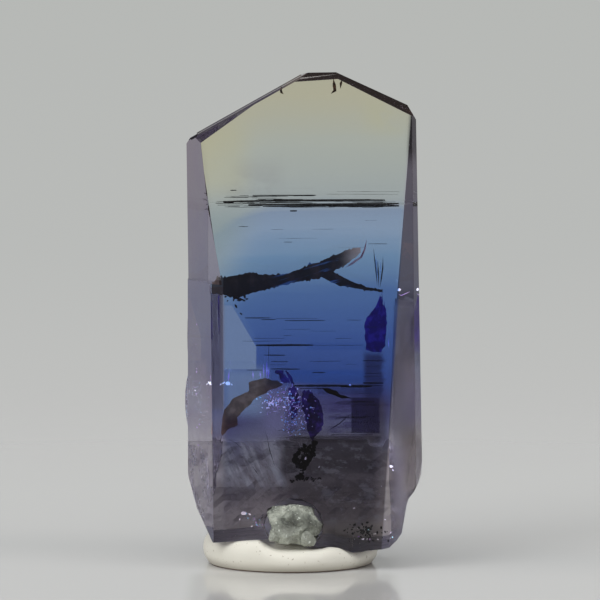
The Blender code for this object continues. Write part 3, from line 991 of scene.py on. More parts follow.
def stain_and_glow(name, dark, light, scale, roughness, blotch=0.5, glow=0.0):
    """A mineral stain: two tones that a noise mixes, with a fine grain in its relief. With glow, it also glows,
    which is painted light.
    """
    material, tree, shader = new_finish(name)
    place = place_in_mm(tree)
    patches = noise_value(tree, place, scale, 5.0, 0.6)
    colour = mixed(tree, rising(tree, patches, blotch - 0.12, blotch + 0.16), dark, light)
    feed(tree, shader.inputs["Base Color"], colour)
    shader.inputs["Roughness"].default_value = roughness
    if glow:
        feed(tree, shader.inputs["Emission Color"], colour)
        shader.inputs["Emission Strength"].default_value = glow
    relief(tree, shader, noise_value(tree, place, scale * 6), 0.4, 0.02)
    return material


# %% [markdown]
# The branch-shaped fracture is the mark that one knows this stone by: a dark wedge on the left
# that narrows to the right and forks. Its upper arm fades to brown and ends in a thin curl. It
# comes in from the left edge and runs backwards as it goes to the right. The fade is a second
# colour that place and height bring in, because a fracture thins out where its stain ends.

# %% Branch fracture
BRANCH = (
    # x, lower edge, upper edge, depth
    (-5.62, 17.21, 17.77, -3.21), (-5.05, 17.16, 18.04, -2.60), (-4.05, 16.90, 18.20, -1.80),
    (-3.30, 17.12, 18.30, -1.40), (-2.18, 17.42, 18.12, -1.20), (-1.06, 17.70, 18.18, -1.15),
    (0.12, 17.94, 18.64, -1.10), (1.02, 18.10, 18.92, -1.05), (1.90, 18.52, 19.34, -1.00),
    (2.67, 18.92, 19.66, -0.95), (3.30, 19.40, 19.82, -0.90), (3.58, 19.66, 19.80, -0.90),
)
FORK = (
    (1.02, 18.20, 18.60, -1.05), (1.55, 17.90, 18.52, -1.05), (2.24, 17.60, 18.16, -1.05),
    (3.08, 17.46, 17.72, -1.05), (3.92, 17.30, 17.40, -1.05), (4.40, 17.27, 17.31, -1.00),
    (4.95, 17.20, 17.21, -0.95),
)
CURL = (
    # width, points
    (0.12, ((2.68, -1, 18.72), (3.18, -1, 19.04), (3.62, -1, 19.32), (3.84, -1, 19.82), (3.96, -1, 20.44))),
    (0.05, ((2.56, -1, 18.63), (3.06, -1, 18.88), (3.56, -1, 19.21))),
)
CRUMBS = (
    # x, height, size
    (-4.62, 17.02, 0.10), (-4.49, 16.96, 0.12), (-4.24, 16.86, 0.13), (-4.06, 16.84, 0.12),
    (-3.93, 16.74, 0.17),
    (-3.68, 16.70, 0.13), (-4.31, 16.72, 0.08), (-4.16, 16.33, 0.14), (-3.84, 15.86, 0.11),
    (-4.68, 16.67, 0.07),
    (-3.49, 16.78, 0.10), (-4.80, 16.92, 0.08), (-3.62, 16.92, 0.12),
)


def dress_branch():
    material = stain_and_glow("branch_stain", (0.010, 0.006, 0.007), (0.045, 0.022, 0.020), 0.9, 0.55, 0.58)
    tree = material.node_tree
    shader = tree.nodes["Principled BSDF"]
    dark = shader.inputs["Base Color"].links[0].from_socket
    x, _, z = axes_of(tree, place_in_mm(tree))
    fade = noise_value(tree, place_in_mm(tree), 1.6, 3.0)
    tip = rising(tree, plus(tree, x, fade), 2.4, 4.4)
    tip = times(tree, tip, rising(tree, z, 18.35, 18.75))
    colour = mixed(tree, tip, dark, (0.42, 0.26, 0.21))
    colour = mixed(tree, rising(tree, x, -4.93, -4.98), colour, (0.060, 0.046, 0.046))
    grain = stretched(tree, turned(tree, place_in_mm(tree), 16), (0.35, 1.0, 4.5))
    streaks = spots(tree, grain, 1.0, 4.0, 0.6, 0.54, 0.64)
    streaks = times(tree, streaks, between(tree, x, -1.6, 2.6, 0.5))
    colour = mixed(tree, times(tree, streaks, 0.8), colour, (0.060, 0.11, 0.24))
    feed(tree, shader.inputs["Base Color"], colour)
    # The stain also glows faintly: painted light, for the little light that reaches it inside the stone
    feed(tree, shader.inputs["Emission Color"], colour)
    shader.inputs["Emission Strength"].default_value = 0.8
    return material


chance = random.Random(5)
branch = bmesh.new()
upright_filling(branch, BRANCH, 3.0, 0.20)
upright_filling(branch, FORK, 14.0, 0.12)
curl = bmesh.new()
needles(curl, CURL)
for crumb_x, crumb_z, crumb_size in CRUMBS:
    chip(branch, (crumb_x, -2.2, crumb_z), crumb_size, chance, 0.25, 2)
branch_piece = add_piece(branch, "branch_fracture", dress_branch())
# The curl's stain glows a little: painted light
curl_stain = stain_and_glow("curl_stain", (0.16, 0.055, 0.085), (0.36, 0.20, 0.22), 2.4, 0.5, 0.5, 0.7)
curl_piece = add_piece(curl, "fracture_curl", curl_stain)
print("branch fracture points:", len(branch_piece.data.vertices), "curl points:", len(curl_piece.data.vertices))

# %% [markdown]
# Lower on the left a second, lighter brown fracture runs up from the stone's edge and widens into
# a cap. Its outline is free, so it is a ragged sheet. Little light reaches it inside the blue
# stone, so its stain glows faintly: that is an honest cheat for the light which fractures trap.

# %% Brown fracture
BROWN = (
    (-5.02, 8.30), (-5.06, 8.75), (-4.90, 9.86), (-4.38, 10.57), (-3.54, 11.02), (-2.94, 11.38),
    (-3.38, 11.62), (-2.38, 11.88), (-1.61, 11.69), (-1.18, 11.47), (-2.27, 11.02), (-2.83, 10.70),
    (-3.38, 10.20), (-3.83, 9.70), (-4.16, 9.41), (-4.04, 9.02), (-4.72, 8.64),
)


def brown_depth(x, z):
    return -2.65 + 0.15 * noise.noise(Vector((x * 0.9, z * 0.9, 8.0)))


brown_stain = stain_and_glow("brown_stain", (0.125, 0.075, 0.048), (0.25, 0.15, 0.10), 1.6, 0.6, 0.52, 0.95)
brown = ragged_sheet(bmesh.new(), BROWN, brown_depth, 0.05, 0.08, 0.07, 6.0)
brown_piece = add_piece(brown, "brown_fracture", brown_stain)
print("brown fracture points:", len(brown_piece.data.vertices))

# %% [markdown]
# The dark level lines are partings: flat cracks that lie across the prism and are seen almost
# edge on. Each one is a level plate, long from side to side and reaching only a little way into
# the stone, so it is a thin line from the front and a sliver from above. The two widest are slits
# in the solid, and their plates follow the slits' stations.

# %% Parting cracks
SLITS = (
    # height, then stations of x, near edge, far edge
    (22.46, (
        (-3.4, -0.5, -0.2), (-1.6, -0.5, 0.2), (0.2, -0.9, 0.7), (1.8, -1.3, 1.2), (3.6, -1.2, 1.7),
        (5.0, -0.7, 2.2),
        (6.0, 0.9, 1.6),
    )),
    (22.74, (
        (-4.95, -2.4, -1.9), (-4.0, -1.9, -1.1), (-1.5, -1.0, 0.1), (1.2, -0.8, 0.5), (3.6, -0.4, 0.6),
        (5.1, 0.0, 0.3),
    )),
)
PARTINGS = (
    # left end, right end, height, near edge, far edge, thickness
    (-5.40, -3.00, 22.72, -2.6, -2.3, 0.030), (-5.30, -3.70, 22.62, -2.6, -2.4, 0.018),
    (-5.35, -2.20, 22.84, -2.5, -2.3, 0.014),
    (1.6, 5.98, 22.41, -0.4, 0.1, 0.09), (-3.14, 0.79, 23.12, -0.9, -0.3, 0.04),
    (-4.90, -3.39, 22.99, -0.5, -0.3, 0.02),
    (-4.90, -4.30, 22.70, -1.4, -1.0, 0.06), (-2.70, 0.59, 22.68, -1.4, -0.9, 0.05),
    (-2.50, 0.06, 22.44, -1.2, -0.7, 0.05), (-3.69, -2.50, 22.50, -1.2, -0.9, 0.02),
    (0.56, 4.18, 22.90, -1.2, -1.0, 0.02),
    (-0.80, -0.38, 22.12, -0.4, 0.0, 0.07), (-4.52, -4.14, 23.41, -0.3, 0.1, 0.04),
    (2.10, 6.00, 23.34, -0.2, 0.0, 0.008), (1.50, 5.90, 23.18, -0.2, 0.0, 0.008),
    (-4.00, -3.43, 21.17, -0.3, 0.0, 0.02), (4.06, 5.24, 20.09, -0.3, 0.0, 0.015),
    (-1.19, -0.69, 20.20, -0.3, 0.0, 0.015),
    (-3.62, -2.06, 15.46, -0.4, 0.0, 0.035), (-1.12, 1.37, 15.30, -0.4, 0.0, 0.025),
    (-2.6, -1.7, 15.36, -0.3, 0.0, 0.03),
    (-2.93, 0.62, 13.74, -0.6, 0.2, 0.07), (0.1, 3.7, 13.76, -0.2, 0.0, 0.01),
    (-2.43, -1.12, 13.14, -0.5, 0.0, 0.03), (-2.00, -0.94, 12.73, -0.4, 0.0, 0.025),
    (-2.00, -0.19, 12.27, -0.5, 0.0, 0.035),
    (0.56, 1.37, 12.05, -0.4, 0.0, 0.03), (-3.5, -2.4, 12.2, -0.3, 0.0, 0.02),
    (-0.60, 2.95, 11.22, -0.9, 0.2, 0.06), (2.30, 4.30, 11.17, -0.8, 0.4, 0.08),
    (-0.2, 1.6, 11.05, -0.3, 0.0, 0.03),
)
FILLING_MARGIN = 0.012
STREAKS = (
    # count, left end, right end, low, high, greatest thickness
    (34, -4.9, 5.9, 22.35, 23.10, 0.026), (16, -5.0, 1.0, 22.60, 22.90, 0.030),
    (16, -1.5, 5.9, 22.38, 22.60, 0.030),
    (12, -4.2, 4.8, 12.5, 15.6, 0.016), (5, -4.0, 5.2, 19.6, 21.8, 0.010), (18, 1.4, 5.0, 8.2, 10.9, 0.024),
    (9, -1.6, 1.4, 7.2, 8.6, 0.016), (9, 3.7, 5.1, 11.0, 13.3, 0.030),
)


def lens(left, right, near, far, seed):
    """Stations of a level plate that is pointed at both ends and uneven between them."""
    count = max(6, round((right - left) / 0.12))
    stations = []
    for number in range(count + 1):
        share = number / count
        x = left + (right - left) * share
        swell = 0.08 + 0.92 * math.sin(math.pi * share) ** 0.6
        half = (far - near) / 2 * swell
        shift = 0.3 * half * noise.noise(Vector((x * 1.7, seed, 0.0)))
        extra = 1 + 0.4 * noise.fractal(Vector((x * 3.1, seed, 4.0)), 0.8, 2.2, 3)
        stations.append((x, (near + far) / 2 + shift - half * extra, (near + far) / 2 + shift + half * extra))
    return stations


def level_slab(bm, stations, spot, thickness):
    """Adds a level plate that is kept inside the stone."""
    plate = bmesh.new()
    slab(plate, stations, spot, (0, 0, thickness))
    trim_to_skin(plate)
    joined(bm, plate)


def uneven_plate(bm, stations, height, thickness, seed):
    tilt = 0.006 * math.sin(seed * 7)
    middle = (stations[0][0] + stations[-1][0]) / 2

    def spot(station, share):
        x, near, far = station
        z = height + tilt * (x - middle) + 0.012 * noise.noise(Vector((x * 0.9, share, seed)))
        return Vector((x, near + (far - near) * share, z))

    level_slab(bm, stations, spot, thickness)


def even_plate(bm, stations, height, thickness):
    def spot(station, share):
        x, near, far = station
        return Vector((x, near + (far - near) * share, height))

    level_slab(bm, stations, spot, thickness)


parting_stain = stain_and_glow("parting_stain", (0.008, 0.008, 0.012), (0.035, 0.035, 0.045), 1.2, 0.5, 0.55)
partings = bmesh.new()
for level, stations in SLITS:
    grown = [
        (x, near - outward(x, near, level, 0.12), far + outward(x, far, level + 5, 0.12))
        for x, near, far in walked(stations)
    ]
    bottom = level + (CRACK_WIDTH - CRACK_CLOSED) / 2 - FILLING_MARGIN
    even_plate(partings, grown, bottom, CRACK_CLOSED + 2 * FILLING_MARGIN)
for number, (left, right, height, near, far, thickness) in enumerate(PARTINGS):
    uneven_plate(partings, lens(left, right, near, far, number), height, thickness, number)
chance = random.Random(21)
for count, left, right, low, high, thickest in STREAKS:
    for number in range(count):
        length = min(chance.uniform(0.5, 2.6), 0.9 * (right - left))
        start = chance.uniform(left, right - length)
        near = chance.uniform(-1.4, 0.4)
        stations = lens(start, start + length, near, near + 0.12, number)
        uneven_plate(partings, stations, chance.uniform(low, high), chance.uniform(0.3, 1.0) * thickest, number)
parting_piece = add_piece(partings, "parting_cracks", parting_stain)
print("partings:", len(PARTINGS) + len(SLITS), "points:", len(parting_piece.data.vertices))

# %% [markdown]
# Near the right side a patch of the stone is deep violet, where a healed crack turns the light,
# and darker violet bands hang below the middle. They are ragged sheets towards the back, so they
# show through the blue as the real ones do.

# %% Violet sheets
VIOLET = (
    (4.87, 16.76), (4.99, 16.25), (5.18, 15.88), (5.24, 15.13), (5.18, 14.25), (5.12, 13.60), (4.90, 13.15),
    (4.31, 13.20), (3.96, 13.35), (3.90, 14.13), (3.84, 14.75), (3.96, 15.32), (4.24, 15.66), (4.42, 15.82),
    (4.50, 15.44), (4.59, 16.07), (4.74, 16.32),
)
DARK_VIOLET = (
    # depth, outline
    (0.6, (
        (0.06, 10.99), (0.50, 10.86), (0.94, 10.30), (1.19, 9.55), (1.31, 8.74), (1.19, 8.42), (0.81, 8.17),
        (0.62, 7.73), (0.37, 8.05), (0.19, 8.74), (0.00, 9.68), (-0.12, 10.43),
    )),
    (0.4, (
        (-0.94, 11.12), (-0.56, 11.19), (-0.31, 10.81), (-0.19, 10.06), (-0.37, 9.37), (-0.69, 9.06),
        (-0.80, 10.00),
    )),
    (0.8, ((-1.75, 12.05), (-1.25, 12.11), (-0.81, 11.29), (-1.19, 11.29))),
    (0.8, ((-1.10, 12.11), (-0.87, 11.98), (-0.56, 11.29), (-0.75, 11.26))),
)
# Both violet stains glow a little: painted light for what reaches them inside the stone
violet_stain = stain_and_glow("violet_stain", (0.050, 0.012, 0.26), (0.16, 0.06, 0.60), 2.2, 0.35, 0.53, 0.22)
violet = ragged_sheet(bmesh.new(), VIOLET, lambda x, z: 2.0 + 0.1 * (x - 4.5), 0.05, 0.07, 0.09, 9.0)
for shift, foot, top in ((4.78, 15.4, 16.9), (4.93, 15.7, 17.1), (5.08, 15.2, 16.5), (5.16, 14.3, 15.6)):
    needle(violet, ((shift, 1.9, foot), (shift + 0.04, 1.9, (foot + top) / 2), (shift, 1.9, top)), 0.07)
violet_piece = add_piece(violet, "violet_patch", violet_stain)
dark_violet_stain = stain_and_glow("dark_violet_stain", (0.030, 0.014, 0.080), (0.13, 0.07, 0.36), 2.0, 0.4, 0.5, 0.45)
bands = bmesh.new()
for number, (depth, outline) in enumerate(DARK_VIOLET):
    ragged_sheet(bands, outline, lambda x, z: depth + 0.1 * math.sin(x * 3), 0.04, 0.06, 0.16, 30.0 + number)
bands_piece = add_piece(bands, "violet_bands", dark_violet_stain)
print("violet points:", len(violet_piece.data.vertices), "band points:", len(bands_piece.data.vertices))

# %% [markdown]
# Dark inclusions of many sizes: a black blob with a tail under the bands, a black wedge, dark
# needles at the right, brown drips under the top edge, strokes in the grey cloud at the lower left
# and a mossy speckle near the foot. They are needles and chips, placed one by one where they matter
# and scattered by seeded chance where the eye only sees a texture.

# %% Dark inclusions
DARK_NEEDLES = (
    # width, points
    (0.06, ((4.38, -0.6, 19.93), (4.46, -0.6, 19.10), (4.56, -0.6, 18.20), (4.62, -0.6, 17.45))),
    (0.09, ((4.66, -0.6, 19.10), (4.68, -0.6, 18.30), (4.72, -0.6, 17.40))),
    (0.08, ((4.98, -0.6, 19.38), (4.96, -0.6, 18.60), (4.88, -0.6, 18.00), (4.80, -0.6, 17.40))),
    (0.03, ((-2.13, -1.2, 14.32), (-2.13, -1.2, 13.38), (-2.12, -1.2, 12.00))),
    (0.06, ((1.44, -1.2, 8.43), (2.25, -1.2, 8.93), (3.06, -1.2, 9.62))),
    (0.03, ((-4.69, -1.2, 7.99), (-4.18, -1.2, 7.74), (-3.69, -1.2, 7.28))),
    (0.05, ((-2.31, -2, 8.53), (-2.06, -2, 7.28), (-1.70, -2, 6.21))),
    (0.04, ((-3.19, -2, 6.41), (-2.93, -2, 6.02), (-2.70, -2, 5.71))),
)
DRIPS = (
    (0.15, ((-1.34, -2.3, 30.01), (-1.38, -2.3, 29.76), (-1.33, -2.3, 29.58), (-1.20, -2.3, 29.48))),
    (0.22, ((1.87, -2.3, 30.45), (1.93, -2.3, 30.05), (1.97, -2.3, 29.70), (1.72, -2.3, 29.50))),
    (0.16, ((2.43, -2.3, 30.40), (2.34, -2.3, 30.15), (2.31, -2.3, 29.80))),
)
BLOB_CORE = (
    (0.26, ((0.82, -0.8, 7.85), (0.60, -0.8, 7.20), (0.30, -0.8, 6.50), (0.00, -0.8, 6.00))),
    (0.20, ((0.12, -0.8, 7.50), (-0.34, -0.8, 7.10), (-0.44, -0.8, 6.70), (-0.20, -0.8, 6.30))),
)
BLOB_STROKES = (
    # chips, spread, largest chip, points of the stroke
    (60, 0.09, 0.19, ((0.09, 7.52), (-0.38, 7.05), (-0.50, 6.60), (-0.12, 6.20))),
    (90, 0.08, 0.20, ((0.79, 7.76), (0.58, 7.15), (0.25, 6.45), (-0.08, 5.90), (-0.20, 5.40))),
    (26, 0.10, 0.10, ((-0.84, 5.25), (-0.30, 5.55), (0.30, 5.35), (1.05, 5.50))),
    (34, 0.06, 0.14, ((0.34, 7.45), (0.05, 6.90), (-0.10, 6.35))),
)
WEDGE = (
    (1.12, 11.12), (1.68, 11.05), (2.12, 10.90), (2.37, 10.65), (3.12, 10.43), (2.43, 10.46),
    (1.87, 10.66), (1.40, 10.85),
)


def along(points, share):
    """The point at a share of the way along a line of points."""
    place = share * (len(points) - 1)
    first = min(int(place), len(points) - 2)
    return Vector(points[first]).lerp(Vector(points[first + 1]), place - first)


black_stain = stain_and_glow("black_stain", (0.006, 0.006, 0.009), (0.030, 0.026, 0.030), 1.5, 0.5, 0.56)
darks = bmesh.new()
needles(darks, DARK_NEEDLES)
ragged_sheet(darks, WEDGE, lambda x, z: -0.2, 0.05, 0.07, 0.05, 41.0)
chance = random.Random(8)
needles(darks, BLOB_CORE)
for count, spread, largest, points in BLOB_STROKES:
    for number in range(count):
        x, z = along(points, chance.random())
        spot = (x + chance.gauss(0, spread), -0.8 + chance.uniform(-0.1, 0.1), z + chance.gauss(0, spread))
        chip(darks, spot, chance.uniform(0.05, largest), chance, 0.3, 2)
for number in range(80):
    spot = (chance.gauss(3.9, 0.55), chance.uniform(-3.3, -2.8), min(2.9, max(1.75, chance.gauss(2.25, 0.32))))
    chip(darks, spot, chance.uniform(0.03, 0.12), chance)
darks_piece = add_piece(darks, "dark_inclusions", black_stain)

drips = bmesh.new()
needles(drips, DRIPS)
drip_stain = stain_and_glow("drip_stain", (0.030, 0.014, 0.010), (0.13, 0.060, 0.04), 2.0, 0.5, 0.5)
drips_piece = add_piece(drips, "edge_drips", drip_stain)
print("dark points:", len(darks_piece.data.vertices), "drip points:", len(drips_piece.data.vertices))

# %% [markdown]
# A fracture below the middle is open to air and splits white light, so it sparkles white, cyan
# and violet, and single sparkles sit all over the stone. True sparkles are mirror flashes, which
# would need a lamp at the one right angle. Small chips and needles that glow a little, as painted
# highlights, give the same dots from every side, and four materials keep their colours apart.

# %% Sparkles
WHITE_SPARKLES = (
    # x, depth, height, size
    (-4.68, -1.5, 11.47, 0.15), (-4.90, -1.5, 11.53, 0.06), (-4.43, -1.5, 11.41, 0.06),
    (-5.12, -1.5, 11.41, 0.06),
    (2.93, -0.5, 11.31, 0.07), (5.99, -0.6, 17.26, 0.10), (5.49, -1.5, 6.30, 0.11), (5.60, -1.5, 6.06, 0.06),
    (3.18, -2.5, 3.78, 0.06), (3.74, -3.0, 1.88, 0.08), (-3.31, -3.0, 3.43, 0.08), (-3.68, -3.0, 3.50, 0.16),
    (-3.93, -3.0, 3.12, 0.07), (-3.18, -3.0, 2.68, 0.06), (1.00, -0.9, 6.20, 0.06), (0.16, -1.0, 6.75, 0.10),
)
# Needles that glow in the violet and steel sparkle colours: painted highlights
LIGHT_NEEDLES = (
    (0.08, ((-3.12, -1.5, 12.26), (-3.10, -1.5, 11.76))), (0.07, ((-2.46, -1.5, 12.76), (-2.43, -1.5, 11.76))),
    (0.11, ((-2.25, -1.5, 12.89), (-2.25, -1.5, 11.76))), (0.10, ((-2.12, -1.5, 12.51), (-2.15, -1.5, 11.76))),
    (0.08, ((-2.68, -1.5, 12.26), (-2.62, -1.5, 11.76))), (0.09, ((-4.59, -1.5, 12.26), (-4.65, -1.5, 11.57))),
    (0.06, ((5.93, -0.6, 16.99), (6.12, -0.6, 16.90), (6.36, -0.6, 17.01), (6.68, -0.6, 17.15))),
    (0.04, ((5.35, -0.3, 14.30), (5.32, -0.3, 13.90), (5.36, -0.3, 13.60))),
)
GLINT_NEEDLES = (
    (0.07, ((4.47, -0.8, 19.70), (4.53, -0.8, 19.00), (4.62, -0.8, 18.20), (4.66, -0.8, 17.60))),
    (0.09, ((4.82, -0.8, 19.20), (4.82, -0.8, 18.50), (4.80, -0.8, 17.70))),
    (0.05, ((4.60, -0.8, 19.30), (4.62, -0.8, 18.70))),
)
CLOUDS = (
    # count, centre x, centre height, spread across, spread up, depth, then the shares of white and cyan
    (60, -1.20, 10.45, 0.75, 0.45, -0.5, 0.35, 0.35),
    (40, -1.95, 10.20, 0.22, 0.16, -0.5, 0.70, 0.20),
    (70, -0.60, 9.20, 0.40, 0.55, -0.5, 0.25, 0.60),
    (30, -0.20, 9.90, 0.55, 0.65, -0.5, 0.30, 0.15),
    (5, -4.60, 11.50, 0.30, 0.08, -1.5, 0.50, 0.30),
    (7, 4.75, 3.20, 0.60, 1.00, -2.4, 0.40, 0.10),
    (14, 3.90, 2.10, 0.70, 0.25, -3.2, 0.60, 0.10),
    (10, -6.45, 12.00, 0.25, 2.40, -1.2, 0.10, 0.00),
)
sparkles = {kind: bmesh.new() for kind in ("white", "cyan", "violet", "steel")}


def well_inside(spot, margin=0.12):
    """A point is inside where the nearest skin faces away from it, at least a margin off."""
    near, normal, _, distance = stone_tree.find_nearest(Vector(spot))
    return distance > margin and (Vector(spot) - near).dot(normal) < 0


chance = random.Random(17)
for x, depth, height, size in WHITE_SPARKLES:
    if well_inside((x, depth, height), 0.05):
        chip(sparkles["white"], (x, depth, height), size, chance, 0.3, 2)
needles(sparkles["violet"], LIGHT_NEEDLES)
needles(sparkles["steel"], GLINT_NEEDLES)
for number in range(70):
    x, z = chance.gauss(-0.95, 0.55), chance.gauss(9.9, 0.62)
    length = chance.uniform(0.10, 0.38)
    dx, dz = (0.06, length) if chance.random() < 0.6 else (length, 0.02)
    kind = chance.choice(("white", "cyan", "violet", "steel"))
    needle(sparkles[kind], ((x, -0.4, z), (x + dx, -0.4, z + dz)), chance.uniform(0.02, 0.05))
for count, middle, height, across, up, depth, white, cyan in CLOUDS:
    for number in range(count):
        pick = chance.random()
        kind = "white" if pick < white else "cyan" if pick < white + cyan else "violet"
        spot = (chance.gauss(middle, across), depth + chance.uniform(-0.2, 0.2), max(1.9, chance.gauss(height, up)))
        size = chance.uniform(0.025, 0.075)
        if well_inside(spot):
            chip(sparkles[kind], spot, size, chance)
for number in range(30):
    share = chance.random()
    spot = (-3.87 + 1.7 * share, -3.0, 3.70 - 1.25 * share + chance.gauss(0, 0.14))
    chip(sparkles[chance.choice(("steel", "violet", "cyan", "steel"))], spot, chance.uniform(0.03, 0.08), chance)
# Glowing materials for the sparkles: painted highlights
sparkle_glows = {
    "white": stain_and_glow("white_sparkle", (0.72, 0.72, 0.86), (0.95, 0.95, 1.0), 3.0, 0.2, 0.5, 1.8),
    "cyan": stain_and_glow("cyan_sparkle", (0.25, 0.55, 0.80), (0.55, 0.85, 0.95), 3.0, 0.2, 0.5, 1.6),
    "steel": stain_and_glow("steel_sparkle", (0.20, 0.27, 0.42), (0.48, 0.56, 0.70), 3.0, 0.25, 0.5, 0.6),
    "violet": stain_and_glow("violet_sparkle", (0.48, 0.30, 0.80), (0.80, 0.62, 0.95), 3.0, 0.25, 0.5, 1.0),
}
for kind, bm in sparkles.items():
    piece = add_piece(bm, f"{kind}_sparkles", sparkle_glows[kind])
    print(kind, "sparkle points:", len(piece.data.vertices))

# %% [markdown]
# The grain of host rock at the foot is another mineral, pale grey-green and granular. It starts
# as a ball that is shaped like the solid, is then clipped by many flat planes, which gives it
# chiselled faces, and last is roughened by two sizes of noise.

# %% Grain of host rock
grain_low, grain_high = box_mm(GRAIN)
GRAIN_CENTRE = (grain_low + grain_high) / 2
GRAIN_HALF = (grain_high - grain_low) / 2 * 1.09
FACET_COUNT = 34
GRAIN_NUBS = (
    # centre, half size
    ((-1.72, -4.12, 2.22), (0.46, 0.40, 0.52)),
    ((0.28, -4.25, 2.02), (0.55, 0.42, 0.55)),
    ((-0.35, -4.35, 3.35), (0.80, 0.30, 0.62)),
)


def rock_lump(bm, centre, half, chance, divisions=5):
    """A lump with chiselled faces: a ball clipped by many planes and roughened twice."""
    planes = [
        (Vector([chance.gauss(0, 1) for axis in range(3)]).normalized(), chance.uniform(0.70, 1.0))
        for _ in range(FACET_COUNT)
    ]
    made = bmesh.ops.create_icosphere(bm, subdivisions=divisions, radius=1.0)
    for vert in made["verts"]:
        way = vert.co.normalized()
        reach = min([1.08] + [far / way.dot(normal) for normal, far in planes if way.dot(normal) > 0.2])
        reach += 0.08 * noise.fractal(way * 2.2 + Vector(centre), 0.8, 2.1, 3)
        reach += 0.030 * noise.fractal(way * 12 + Vector(centre), 0.6, 2.1, 4)
        vert.co = Vector(centre) + Vector([way[axis] * half[axis] * reach for axis in range(3)])


def rock_grain(chance):
    bm = bmesh.new()
    rock_lump(bm, GRAIN_CENTRE, GRAIN_HALF, chance, 6)
    for centre, half in GRAIN_NUBS:
        rock_lump(bm, centre, half, chance, 5)
    return bm


def dress_rock():
    material, tree, shader = new_finish("host_rock")
    place = place_in_mm(tree)
    patches = noise_value(tree, place, 0.9, 5.0, 0.65)
    colour = colour_steps(tree, patches, (
        (0.30, (0.055, 0.058, 0.048)), (0.43, (0.15, 0.16, 0.135)),
        (0.53, (0.25, 0.27, 0.23)), (0.66, (0.50, 0.52, 0.45)),
    ))
    crystalline = spots(tree, place, 4.6, 3.0, 0.5, 0.62, 0.68)
    colour = mixed(tree, crystalline, colour, (0.62, 0.66, 0.60))
    veins = spots(tree, place, 2.4, 6.0, 0.7, 0.56, 0.64)
    colour = mixed(tree, times(tree, veins, 0.75), colour, (0.070, 0.078, 0.066))
    low = times(tree, rising(tree, axes_of(tree, place)[2], 3.2, 2.0), 0.35)
    colour = mixed(tree, low, colour, (0.56, 0.58, 0.51))
    feed(tree, shader.inputs["Base Color"], colour)
    feed(tree, shader.inputs["Roughness"], scaled(tree, patches, 0.5, 0.34))
    relief(tree, shader, noise_value(tree, place, 9.0, 4.0, 0.6), 0.8, 0.06)
    return material


grain_piece = add_piece(rock_grain(random.Random(3)), "rock_grain", dress_rock(), (GRAIN,))
print("grain points:", len(grain_piece.data.vertices))

# %% [markdown]
# The holder is a ball of off-white putty, pressed flat by the stone. It is turned from a half
# section as a lathe would, then the stone is pressed into it: a ray is sent up from each point
# to find the stone's foot, and the putty's top follows that height, so both meet with no gap.

# %% Putty
putty_low, putty_high = box_mm(PUTTY)
PUTTY_CENTRE = (putty_low + putty_high) / 2
PUTTY_RADIUS = (putty_high.x - putty_low.x) / 2
PUTTY_BASE_RADIUS = PUTTY_RADIUS - 0.33
GRAIN_SEAT = 1.30
FOOT_REACH_X = (-5.35, 5.2)
FOOT_REACH_Y = (-3.85, 2.2)
PRESS_GAP = 0.015


def stone_above(x, y):
    """The point where a ray sent straight up meets the stone, if it does."""
    return stone_tree.ray_cast(Vector((x, y, -1)), Vector((0, 0, 1)))[0]


def foot_height(x, y):
    x = min(max(x, FOOT_REACH_X[0]), FOOT_REACH_X[1])
    y = min(max(y, FOOT_REACH_Y[0]), FOOT_REACH_Y[1])
    hit = stone_above(x, y)
    return hit.z if hit else 1.6


def soft_foot_height(x, y):
    around = [(0, 0), (0.3, 0), (-0.3, 0), (0, 0.3), (0, -0.3)]
    return sum(foot_height(x + dx, y + dy) for dx, dy in around) / len(around)


def putty_section():
    section = [(0.0, 0.0), (PUTTY_BASE_RADIUS - 0.15, 0.0), (PUTTY_BASE_RADIUS, 0.06)]
    for step in range(15):
        angle = math.radians(-40 + 130 * step / 14)
        section.append((PUTTY_RADIUS - 0.5 + 0.5 * math.cos(angle), 0.55 + 0.45 * math.sin(angle)))
    section += [(PUTTY_RADIUS - 0.5 - 0.2 * step, 1.0) for step in range(1, 25)]
    section.append((0.0, 1.0))
    return section


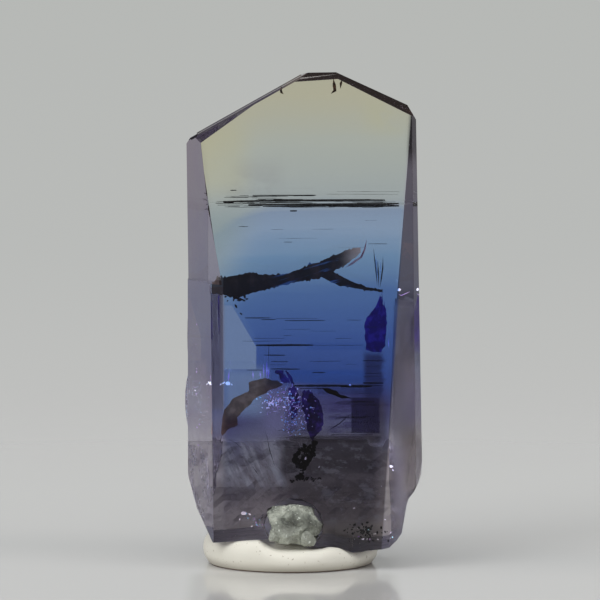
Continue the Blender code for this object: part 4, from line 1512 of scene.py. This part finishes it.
def pressed_putty():
    bm = bmesh.new()
    verts = [bm.verts.new((radius, 0, z)) for radius, z in putty_section()]
    edges = [bm.edges.new(pair) for pair in zip(verts, verts[1:])]
    bmesh.ops.spin(
        bm, geom=verts + edges, cent=(0, 0, 0), axis=(0, 0, 1), angle=math.tau, steps=160, use_merge=True
    )
    bmesh.ops.remove_doubles(bm, verts=bm.verts[:], dist=0.0005)
    for vert in bm.verts:
        x, y = vert.co.x + PUTTY_CENTRE.x, vert.co.y + PUTTY_CENTRE.y
        level = min(soft_foot_height(x, y), 2.05) - PRESS_GAP
        seat = max(0.0, 1 - (abs(x - GRAIN_CENTRE.x) / 2.1) ** 4) * min(1.0, max(0.0, -2.6 - y))
        level += (min(level, GRAIN_SEAT) - level) * seat
        dent = 0.03 * noise.fractal(Vector((x * 0.9, y * 0.9, vert.co.z)), 0.8, 2.1, 3)
        height = vert.co.z * level + dent * min(1.0, vert.co.z * 3)
        if vert.co.z > 0.9:
            hit = stone_above(x, y)
            if hit:
                height = min(height, hit.z - PRESS_GAP)
        vert.co = Vector((x, y, max(0.0, height)))
    return bm


def dress_putty():
    material, tree, shader = new_finish("off_white_putty")
    place = place_in_mm(tree)
    cloud = noise_value(tree, place, 0.5, 3.0)
    colour = mixed(tree, cloud, (0.80, 0.775, 0.67), (0.87, 0.85, 0.765))
    specks = spots(tree, place, 5.0, 2.0, 0.5, 0.66, 0.74)
    colour = mixed(tree, specks, colour, (0.50, 0.45, 0.36))
    z = axes_of(tree, place)[2]
    # Painted shade: the putty darkens towards its foot, and a thin brown painted contact shadow runs along it
    for top, bottom, shade in ((0.75, 0.0, (0.56, 0.53, 0.45)), (0.11, 0.03, (0.20, 0.12, 0.085))):
        colour = mixed(tree, rising(tree, z, top, bottom), colour, shade)
    feed(tree, shader.inputs["Base Color"], colour)
    shader.inputs["Roughness"].default_value = 0.62
    relief(tree, shader, noise_value(tree, place, 2.2, 4.0), 0.35, 0.05)
    return material


putty_piece = add_piece(pressed_putty(), "pressed_putty", dress_putty(), (PUTTY,))
putty_piece.data.shade_smooth()
print("putty points:", len(putty_piece.data.vertices))
